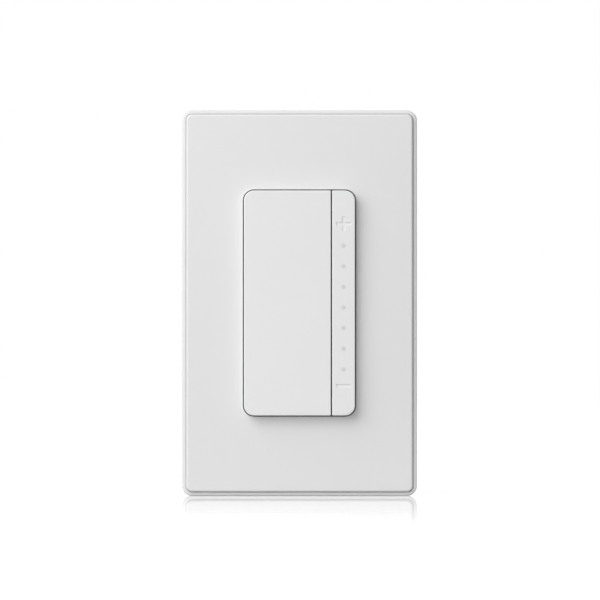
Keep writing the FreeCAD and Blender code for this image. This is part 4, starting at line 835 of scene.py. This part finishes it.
class Axis(Enum):
    """The way a screw's head or a board's parts look, as a unit vector."""

    FRONT = (0.0, -1.0, 0.0)
    BACK = (0.0, 1.0, 0.0)
    LEFT = (-1.0, 0.0, 0.0)
    RIGHT = (1.0, 0.0, 0.0)


class HeadForm(Enum):
    """The form of a screw's head."""

    PAN = "pan"
    FLAT = "countersunk"
    HEX = "hexagon"


@dataclass(frozen=True)
class Cut:
    """One cut for the driver: spans are shares of the head's radius, and deep is one of its height."""

    outline: Callable[[float, float], Points]
    span: float
    stroke: float
    deep: float
    taper: float = 1.0


class Recess(Enum):
    """What the driver goes into."""

    SLOT = (Cut(bar_outline, 2.4, 0.36, 0.42),)
    CROSS = (Cut(cross_outline, 1.25, 0.34, 0.75, 0.42),)
    BOTH = SLOT + CROSS


@dataclass(frozen=True)
class Screws:
    """The screws of one node: threaded shanks and recessed heads.

    A screw is one surface round its axis. Its radius is a function of the depth below the head's top and of
    the angle: the head's curve, then the thread, a triangle wave of the depth over the pitch less the angle
    over a full turn.
    """

    node: str
    way: Axis
    shank: float
    pitch: float
    form: HeadForm = HeadForm.PAN
    recess: Recess = Recess.BOTH
    head_share: float = 0.1
    neck: float = 0.4
    camber: float = 0.8
    crown: float = 2.4
    bevel: float = 0.97
    chamfer: float = 0.2
    head_rows: int = 14
    turn_rows: int = 8
    thread_deep: float = 0.6
    tip_share: float = 0.7
    spin: float = 0.3
    spin_step: float = 1.1
    sides: int = 48

    def sizes(self, box: Box) -> tuple[float, float, float]:
        """A screw's length, and its head's radius and height, from the box of the solid that it fills."""
        long = abs(box.size @ self.way.value)
        return long, np.delete(box.size, np.abs(self.way.value).argmax()).max() / 2, self.head_share * long

    def axes(self, box: Box) -> tuple[Points, Points, Points, Points]:
        """The middle of a head's top, and unit vectors out of the head, across it and up."""
        way, up = np.array(self.way.value), np.array([0.0, 0.0, 1.0])
        return box.middle + way * self.sizes(box)[0] / 2, way, np.cross(way, up), up

    def profile(self, long: float, head: float, tall: float) -> Points:
        """The profile from the head's middle to the tip.

        A pan head's depth is its camber's height times one less the root of one less the radius share to
        the power of its crown; a countersunk head has a straight cone, and a hexagon head a small chamfer.

        Args:
            long: the screw's length.
            head: the head's radius.
            tall: the head's height.

        Returns:
            A depth and a radius in each row.
        """
        share = np.linspace(0.06, 1.0, self.head_rows)
        face = share * head * (1.0 if self.form is HeadForm.PAN else self.bevel)
        if self.form is HeadForm.PAN:
            fall = self.camber * tall * (1 - (1 - share ** self.crown) ** (1 / self.crown))
            edge = [(self.camber * tall + 0.05 * tall, head), (tall, head * 0.985)]
        elif self.form is HeadForm.FLAT:
            fall = 0 * share
            edge = [(0.08 * tall, head), (0.16 * tall, head), (tall, self.shank)]
        else:
            fall = 0.1 * tall * share ** 8
            edge = [(0.25 * tall, head), (tall, head)]
        start, tip = tall + self.neck, self.shank * self.tip_share
        steps = max(int((long - tip - start) / self.pitch * self.turn_rows), self.turn_rows)
        thread = np.linspace(start, long - tip, steps)
        return np.vstack([np.column_stack([fall, face]), edge,
                          [(tall + 0.02, self.shank), (start - 0.02, self.shank)],
                          np.column_stack([thread, np.full(steps, self.shank)]),
                          [(long - 0.35 * tip, self.shank * 0.78), (long, self.shank * 0.45)]])

    def shell(self, box: Box) -> Points:
        """One screw as a grid in its place.

        Args:
            box: the solid that it fills.

        Returns:
            Rows from the head to the tip.
        """
        long, head, tall = self.sizes(box)
        depth, radius = self.profile(long, head, tall).T[:, :, None]
        angle = turn(self.sides)
        threaded = (depth > tall + self.neck) & (depth <= long - self.shank * self.tip_share)
        wave = np.abs(2 * ((depth / self.pitch - angle / (2 * math.pi)) % 1.0) - 1)
        reach = radius - threaded * wave * self.thread_deep * self.pitch
        if self.form is HeadForm.HEX:
            sixth = math.pi / 6
            side = math.cos(sixth) / np.cos(angle % (2 * sixth) - sixth)
            reach *= np.where(depth <= self.chamfer * tall, math.cos(sixth), np.where(depth <= tall, side, 1))
        top, way, across, up = self.axes(box)
        spoke = np.cos(angle)[:, None] * across + np.sin(angle)[:, None] * up
        return top - depth[:, :, None] * way + reach[:, :, None] * spoke

    def cuts(self, box: Box, spin: float) -> list[Points]:
        """What is cut out of one head.

        Args:
            box: the screw's solid.
            spin: how far the recess is turned about the axis, in radians.

        Returns:
            A grid for each cut.
        """
        _, head, tall = self.sizes(box)
        top, way, across, up = self.axes(box)
        axes = np.array([math.cos(spin) * across + math.sin(spin) * up,
                         math.cos(spin) * up - math.sin(spin) * across, -way])
        return [top + prism(cut.outline(cut.span * head, cut.stroke * head), -ABOVE, cut.deep * tall,
                            cut.taper) @ axes for cut in self.recess.value]

    def build(self) -> Piece:
        """Makes the screws and cuts their recesses.

        Returns:
            The piece that stands for the node.
        """
        screws, cutters = Surface(), [Surface() for _ in self.recess.value]
        for number, box in enumerate(solids(self.node)):
            screws.grid(self.shell(box))
            for cutter, shape in zip(cutters, self.cuts(box, self.spin + self.spin_step * number)):
                cutter.grid(shape)
        return carved(screws.piece("cut_" + self.node), cutters, self.node)


@dataclass
class WallPlate:
    """The sub-plate's two screws; the snap-on cover plate and the sub-plate keep their solids."""

    screws: Screws = Screws("sub_plate_screws", Axis.FRONT, 1.7, 0.8, HeadForm.FLAT, Recess.CROSS,
                            head_share=0.136)

    def build(self) -> list[Piece]:
        """Makes the screws."""
        return [self.screws.build()]


@dataclass
class Controls:
    """The press paddle, the level bar with its engraved signs, and what springs and pushes under them."""

    sign_span: float = 4.3
    minus_span: float = 4.5
    stroke: float = 1.05
    sign_deep: float = 0.19
    sign_slope: float = 0.07
    face_dish: float = 0.4
    plus_up: float = 23.4
    minus_up: float = -24.5
    spring_turns: float = 5.0
    spring_wire: float = 0.175
    flat_turns: float = 0.75
    turn_steps: int = 36
    screws: Screws = Screws("control_board_screws", Axis.FRONT, 0.95, 0.4, HeadForm.PAN, Recess.CROSS,
                            head_share=0.24, neck=0.1, sides=32)

    def level_bar(self) -> Piece:
        """The level bar with a plus engraved near its top and a minus near its foot.

        The face is dished along its length, so a sign's floor lies at the face's front, plus the dish times
        one less the square of the height over the half length, plus the sign's own depth. The floor is
        smaller than the mouth by the slope all round, and the mouth is wider in step above the face.

        Returns:
            The bar that stands for its node.
        """
        guide, box = node_box("light_guide").middle[0], node_box("level_bar")
        bar, signs = Surface(), Surface()
        points, faces = merged("level_bar")
        bar.add(points, [faces])
        for outline, span, up in ((cross_outline, self.sign_span, self.plus_up),
                                  (bar_outline, self.minus_span, self.minus_up)):
            rings = []
            for deep in (-ABOVE, self.sign_deep):
                less = 2 * self.sign_slope * deep / self.sign_deep
                across, high = (outline(span - less, self.stroke - less) + (guide, up)).T
                face = box.low[1] + self.face_dish * (1 - (high / box.high[2]) ** 2)
                rings.append(np.column_stack([across, face + deep, high]))
            signs.grid(np.stack(rings))
        return carved(bar.piece("engraved_level_bar"), [signs], "level_bar")

    def springs(self) -> Piece:
        """The two return springs: helices about Y whose end turns lie flat.

        The angle runs evenly along the wire. The height is a straight ramp, and level over the first and
        last flat turns.

        Returns:
            The springs that stand for their node. The squash that a full press would give is worked out, but
            nothing applies it.
        """
        surface = Surface()
        share = np.linspace(0, 1, int(self.spring_turns * self.turn_steps))
        angle = share * 2 * math.pi * self.spring_turns
        flat = self.flat_turns / self.spring_turns
        rise = np.clip((share - flat) / (1 - 2 * flat), 0, 1)
        out = np.column_stack([np.cos(angle), 0 * angle, np.sin(angle)])
        for box in solids("return_springs"):
            low, high = box.low[1] + self.spring_wire, box.high[1] - self.spring_wire
            path = out * (box.size[0] / 2 - self.spring_wire) + box.middle
            path[:, 1] = low + (high - low) * rise
            surface.grid(tube(path, out, self.spring_wire))
        springs = stand_for(surface.piece("wound_return_springs", WIRE_CREASE), "return_springs")
        box = node_box("return_springs")
        press = next(joint for joint in frame["joints"] if joint["name"] == "paddle_press")
        lever = abs(press["pos_m"][2] / MM - box.low[2])
        keep = 1 - lever * math.sin(math.radians(press["range_deg"][1])) / box.size[1]
        anchor = tuple(np.array([box.middle[0], box.high[1], box.middle[2]]) * MM)
        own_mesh(springs)
        return springs

    def build(self) -> list[Piece]:
        """Makes the bar, the springs and the board's screws."""
        return [self.level_bar(), self.springs(), self.screws.build()]


@dataclass
class Body:
    """The screws of the yoke, the rear housing and the wire terminals, which keep their own solids."""

    screws: tuple[Screws, ...] = (
        Screws("wall_box_screws", Axis.FRONT, 1.75, 0.8, head_share=0.068, neck=3.0),
        Screws("housing_screws", Axis.BACK, 1.25, 1.0, HeadForm.PAN, Recess.CROSS, head_share=0.059,
               neck=12.0, sides=36),
        Screws("ground_screw", Axis.LEFT, 1.75, 0.8, HeadForm.HEX, Recess.SLOT, head_share=0.245),
        Screws("transistor_screws", Axis.BACK, 1.45, 0.6, HeadForm.PAN, Recess.CROSS, head_share=0.41,
               neck=0.1, sides=36),
        *(Screws(f"{wire}_screw", way, 1.75, 0.8, head_share=0.323, neck=0.3, camber=0.35)
          for wire, way in (("line", Axis.RIGHT), ("load", Axis.RIGHT), ("neutral", Axis.LEFT))))

    def build(self) -> list[Piece]:
        """Makes every screw of the body and its terminals."""
        return [screws.build() for screws in self.screws]


@dataclass
class PowerBoard:
    """The wound and sleeved parts that stand on the power board, inside the rear housing."""

    choke_turns: int = 10
    choke_sweep: float = 139.0
    choke_square: float = 6.0
    wire_share: float = 0.47
    turn_steps: int = 44
    coil_ridges: int = 13
    ridge_rows: int = 8
    ridge: float = 0.08
    coil_sides: int = 96
    bore_square: float = 14.0
    coil_square: float = 4.5
    groove_up: float = 1.3
    groove_wide: float = 1.5
    groove_deep: float = 0.4
    rim: float = 0.7
    vent: float = 0.35
    hub_share: float = 0.2
    score_share: tuple[float, float] = (1.1, 0.07)
    score_above: float = 1.0
    can_rows: int = 13
    can_sides: int = 64

    def choke(self) -> Piece:
        """The choke's two half windings: one wire each, laid round the core's section turn by turn.

        Round the section the wire follows a superellipse, and the azimuth about the choke's axis grows
        evenly from one end of the half to the other.

        Returns:
            The windings that stand for their node.
        """
        core, wound = node_box("choke_core"), node_box("choke_winding")
        layer = (wound.size[1] - core.size[1]) / 2
        reach = np.linalg.norm((merged("choke_core")[0] - core.middle)[:, [0, 2]], axis=1)
        half = np.array([reach.max() - reach.min() + layer, core.size[1] + layer]) / 2
        share = np.linspace(0, 1, self.choke_turns * self.turn_steps)
        section = share * self.choke_turns * 2 * math.pi
        flat = superellipse(section, half, self.choke_square)
        rise = np.array([0.0, 1.0, 0.0])
        surface = Surface()
        for side in (0.0, math.pi):
            azimuth = side + math.radians(self.choke_sweep) * (share - 0.5)
            spoke = np.column_stack([np.cos(azimuth), 0 * share, np.sin(azimuth)])
            path = (core.middle + spoke * ((reach.max() + reach.min()) / 2 + flat[:, :1])
                    + rise * flat[:, 1:])
            out = spoke * np.cos(section)[:, None] + rise * np.sin(section)[:, None]
            surface.grid(tube(path, out, self.wire_share * layer))
        return stand_for(surface.piece("wound_choke_winding", WIRE_CREASE), "choke_winding")

    def coil(self) -> Piece:
        """The transformer's coil: a ring round the middle leg whose outer side shows its turns.

        The section runs up the inner wall and back down the outer side, whose share of the way out is one
        less a ridge's depth times one less the size of a sine of the height.

        Returns:
            The coil that stands for its node.
        """
        box = node_box("transformer_winding")
        flat = (merged("transformer_winding")[0] - box.middle)[:, [0, 2]]
        inner = np.abs(flat[np.abs(flat).sum(axis=1).argmin()])
        count = self.coil_ridges * self.ridge_rows + 1
        wave = np.abs(np.sin(np.linspace(0, self.coil_ridges * math.pi, count)))
        share = np.concatenate([[0.0, 0.0], 1 - self.ridge * (1 - wave)])[None, :, None]
        depth = np.concatenate([[-1.0, 1.0], np.linspace(1, -1, count)]) * box.size[1] / 2
        angle = turn(self.coil_sides)
        near = superellipse(angle, inner, self.bore_square)[:, None]
        far = superellipse(angle, box.size[[0, 2]] / 2, self.coil_square)[:, None]
        ring = near + share * (far - near)
        surface = Surface()
        surface.grid(np.stack([ring[..., 0], np.broadcast_to(depth, ring.shape[:2]), ring[..., 1]], -1)
                     + box.middle, ring=True)
        return stand_for(surface.piece("wound_transformer_winding"), "transformer_winding")

    def capacitor(self) -> Piece:
        """The bulk capacitor: turned about Y, with a rolled groove, a curled rim and a scored cross on top.

        The groove's radius is the can's less the groove's depth times the square of a sine of the height,
        and the rim is a quarter of a circle.

        Returns:
            The can that stands for its node.
        """
        box = node_box("bulk_capacitor")
        radius, tall = box.size[0] / 2, box.size[1]
        hub, lip, top = self.hub_share * radius, radius - self.rim, tall - self.vent
        share = np.linspace(0, 1, self.can_rows)
        groove = np.column_stack([self.groove_up + self.groove_wide * share,
                                  radius - self.groove_deep * np.sin(math.pi * share) ** 2])
        rim = np.column_stack([tall + self.rim * (np.sin(share * math.pi / 2) - 1),
                               radius + self.rim * (np.cos(share * math.pi / 2) - 1)])
        profile = np.vstack([[(0, hub), (0, lip), (self.rim / 2, radius)], groove, rim,
                             [(tall - 0.1, lip - 0.25), (top, lip - 0.35), (top, hub)]])
        height, reach = profile.T[:, :, None]
        angle = turn(self.can_sides)
        middle = np.array([box.middle[0], box.low[1], box.middle[2]])
        can, score = Surface(), Surface()
        can.grid(np.stack([reach * np.cos(angle), height + 0 * angle, reach * np.sin(angle)], -1) + middle)
        cross = cross_outline(*(share * radius for share in self.score_share))
        score.grid(prism(cross, tall + self.score_above, tall - 1.8 * self.vent)[..., [0, 2, 1]] + middle)
        return carved(can.piece("sleeved_bulk_capacitor"), [score], "bulk_capacitor")

    def build(self) -> list[Piece]:
        """Makes the two windings and the can."""
        return [self.choke(), self.coil(), self.capacitor()]


@dataclass
class Passives:
    """Chip resistors and ceramic capacitors on a board's face, wherever the larger parts leave room."""

    board: str
    way: Axis
    count: int = 44
    tries: int = 900
    step: float = 1.27
    long: float = 1.6
    wide: float = 0.8
    tall: float = 0.5
    low_share: float = 0.8
    slim_share: float = 0.96
    cap: float = 0.3
    room: float = 0.45
    above: float = 1.0
    skin: float = 0.03
    level: float = 0.01
    seed: int = 5

    def places(self, face: float) -> list[tuple[float, float, bool]]:
        """Draws places on a fine grid and keeps those that are free.

        A place is free where its box, with room round it, meets no triangle's own box, and where a triangle
        of the board's face lies under each corner of it.

        Args:
            face: the depth of the board's face.

        Returns:
            Each part's place across and up, and whether it stands upright.
        """
        sign, board = self.way.value[1], node_box(self.board)
        corners = np.concatenate([points[faces] for points, faces in map(merged, frame["nodes"])])
        depths = np.sort([face + sign * self.skin, face + sign * (self.tall + self.above)])
        near = (corners[..., 1].min(axis=1) < depths[1]) & (corners[..., 1].max(axis=1) > depths[0])
        flat = corners[near][..., [0, 2]]
        low, high = flat.min(axis=1), flat.max(axis=1)
        points, faces = merged(self.board)
        ground = points[faces]
        ground = ground[(np.abs(ground[..., 1] - face) < self.level).all(axis=1)][..., [0, 2]]
        edge = np.roll(ground, -1, axis=1) - ground
        draw = np.random.default_rng(self.seed)
        found: list[tuple[float, float, bool]] = []
        for at in draw.uniform(board.low[[0, 2]], board.high[[0, 2]], (self.tries, 2)):
            at = np.round(at / self.step) * self.step
            upright = bool(draw.integers(2))
            half = np.array([self.long, self.wide][::-1 if upright else 1]) / 2 + self.room
            if ((low < at + half) & (high > at - half)).all(axis=1).any():
                continue
            offset = (at + half * np.array([(-1, -1), (1, -1), (1, 1), (-1, 1)]))[:, None, None] - ground
            turned = edge[..., 0] * offset[..., 1] - edge[..., 1] * offset[..., 0]
            if not ((turned >= 0).all(axis=2) | (turned <= 0).all(axis=2)).any(axis=1).all():
                continue
            found.append((*at.tolist(), upright))
            low, high = np.vstack([low, at - half]), np.vstack([high, at + half])
            if len(found) == self.count:
                break
        return found

    def build(self) -> list[Piece]:
        """Makes the bodies and their soldered ends.

        Returns:
            The black chips, the brown ceramics and the bright ends.
        """
        sign, board = self.way.value[1], node_box(self.board)
        face = board.high[1] if sign > 0 else board.low[1]
        kinds = {slot: Surface() for slot in ("chip_black", "fuse_brown", "shield_tin")}
        side, body = (self.long - self.cap) / 2, self.long - 2 * self.cap
        for number, (across, up, upright) in enumerate(self.places(face)):
            kind, tall = (("fuse_brown", self.tall), ("chip_black", self.tall * self.low_share))[number % 2]
            ends = [("shield_tin", end * side, self.cap, 1.0) for end in (-1, 1)]
            for slot, shift, long, share in [(kind, 0.0, body, self.slim_share), *ends]:
                shape = prism(bar_outline(long, self.wide * share), 0.0, sign * tall * share)
                shape[..., 0] += shift
                kinds[slot].grid(shape[..., [1, 2, 0] if upright else [0, 2, 1]] + (across, face, up))
        return [dress(surface.piece(f"{self.board}_{slot}_parts"), slot, self.board)
                for slot, surface in kinds.items()]


@dataclass(frozen=True)
class Lamp:
    """One square soft lamp that looks at the switch, with its place and its side in metres."""

    name: str
    at: tuple[float, float, float]
    size: float
    watts: float

    def build(self) -> None:
        """Makes the lamp."""
        data = bpy.data.lights.new(self.name, "AREA")
        data.shape, data.size, data.energy = "SQUARE", self.size, self.watts
        made = linked(self.name, data)
        made.location = self.at
        made.rotation_euler = (-Vector(self.at)).to_track_quat("-Z", "Y").to_euler()


@dataclass
class Studio:
    """The floor, the lamps, the world and the camera."""

    frame_wide: float = 177.7
    camera_away: float = 2000.0
    aim_across: float = 0.15
    aim_up: float = 0.89
    sensor: float = 36.0
    floor_wide: float = 6000.0
    sky: float = 0.31
    lamps: tuple[Lamp, ...] = (Lamp("key", (-0.42, -0.50, 0.42), 0.80, 6.5),
                               Lamp("back_fill", (0.7, 0.9, 0.7), 0.6, 6.0))
    floor_tone: float = 0.45
    seen_tone: float = 0.20
    mirror: float = 0.62
    mirror_reach: float = 420.0
    mirror_behind: float = 60.0
    mirror_rough: float = 0.02
    mirror_power: float = 4.0
    glow_near: float = 0.90
    glow_far: float = 0.95
    glow_from: float = 60.0
    glow_to: float = 600.0

    def camera(self) -> None:
        """A long lens straight in front, whose frame is frame_wide across at the plate's face."""
        data = bpy.data.cameras.new("camera")
        data.sensor_width = self.sensor
        data.lens = self.sensor * self.camera_away / self.frame_wide
        made = linked("camera", data)
        face = node_box("cover_plate").low[1]
        made.location = Vector((self.aim_across, face - self.camera_away, self.aim_up)) * MM
        made.rotation_euler = (math.pi / 2, 0.0, 0.0)
        bpy.context.scene.camera = made

    def seen(self, sheet: Sheet) -> Value:
        """Tells what is seen from what only lights.

        Args:
            sheet: the node sheet that asks.

        Returns:
            1 for a ray from the camera, a mirror or glass, and 0 for one that only lights a surface.
        """
        kinds = ("Is Camera Ray", "Is Glossy Ray", "Is Transmission Ray")
        camera, glossy, through = (sheet.node("ShaderNodeLightPath", output=kind) for kind in kinds)
        return camera.maths("MAXIMUM", glossy).maths("MAXIMUM", through)

    def world(self) -> None:
        """White where it is seen, and a dimmer even sky where it lights."""
        world = bpy.data.worlds.new("studio")
        bpy.context.scene.world = world
        sheet = Sheet(world)
        sky, white = (sheet.node("ShaderNodeBackground", None, {"Color": WHITE, "Strength": strength})
                      for strength in (self.sky, 1.0))
        both = sheet.node("ShaderNodeMixShader", None, {0: self.seen(sheet), 1: sky, 2: white})
        sheet.node("ShaderNodeOutputWorld", None, {"Surface": both})

    def floor(self) -> None:
        """A white floor under the plate's foot, with a short mirror that fades towards the camera."""
        low = node_box("sub_plate").low[2]
        half = self.floor_wide / 2
        corners = [(x * half * MM, y * half * MM, low * MM)
                   for x, y in ((-1, -1), (1, -1), (1, 1), (-1, 1))]
        mesh = bpy.data.meshes.new("floor")
        mesh.from_pydata(corners, [], [(0, 1, 2, 3)])
        material = bpy.data.materials.new("floor")
        mesh.materials.append(material)
        sheet = Sheet(material)
        matt, pale = (sheet.node("ShaderNodeBsdfDiffuse", None, {"Color": (tone, tone, tone, 1.0)})
                      for tone in (self.floor_tone, self.seen_tone))
        place = sheet.place()
        across, deep = sheet.axis(place, "X"), sheet.axis(place, "Y")
        away = across.reach(deep).ramp(self.glow_from, self.glow_to)
        white = sheet.blend(away, *((glow, glow, glow) for glow in (self.glow_near, self.glow_far)))
        glow = sheet.node("ShaderNodeEmission", None, {"Color": white, "Strength": 1.0})
        lit = sheet.node("ShaderNodeAddShader", None, {0: pale, 1: glow})
        plain = sheet.node("ShaderNodeMixShader", None, {0: self.seen(sheet), 1: matt, 2: lit})
        gloss = sheet.node("ShaderNodeBsdfAnisotropic", None,
                           {"Color": WHITE, "Roughness": self.mirror_rough})
        slant = sheet.node("ShaderNodeLayerWeight", None, {"Blend": 0.5}, "Facing")
        near = (1 - (0 - deep).ramp(0.0, self.mirror_reach)) * (1 - deep.ramp(0.0, self.mirror_behind))
        fade = near * self.mirror * slant.maths("POWER", self.mirror_power)
        done = sheet.node("ShaderNodeMixShader", None, {0: fade, 1: plain, 2: gloss})
        sheet.node("ShaderNodeOutputMaterial", None, {"Surface": done})
        floor = linked("floor", mesh)

    def build(self) -> None:
        """Makes all of it, with the plain view transform."""
        bpy.context.scene.view_settings.view_transform = "Standard"
        self.camera()
        self.world()
        self.floor()
        for lamp in self.lamps:
            lamp.build()


def dress_nodes() -> None:
    """Gives every CAD node that still shows its procedural finish."""
    for name, node in frame["nodes"].items():
        if not node.hide_render:
            for slot in node.material_slots:
                slot.material = FINISHES[node_slot(name)].material()


def main() -> None:
    """Builds the studio and each sub-assembly in order, and reports each piece."""
    logging.basicConfig(level=logging.INFO, format="%(message)s")
    Studio().build()
    for assembly in (WallPlate(), Controls(), Body(), PowerBoard(), Passives("control_board", Axis.FRONT),
                     Passives("power_board", Axis.BACK)):
        for piece in assembly.build():
            LOG.info("%s: %s, %d faces", type(assembly).__name__, piece.name, len(piece.data.polygons))
    dress_nodes()


if __name__ == "__main__":
    main()
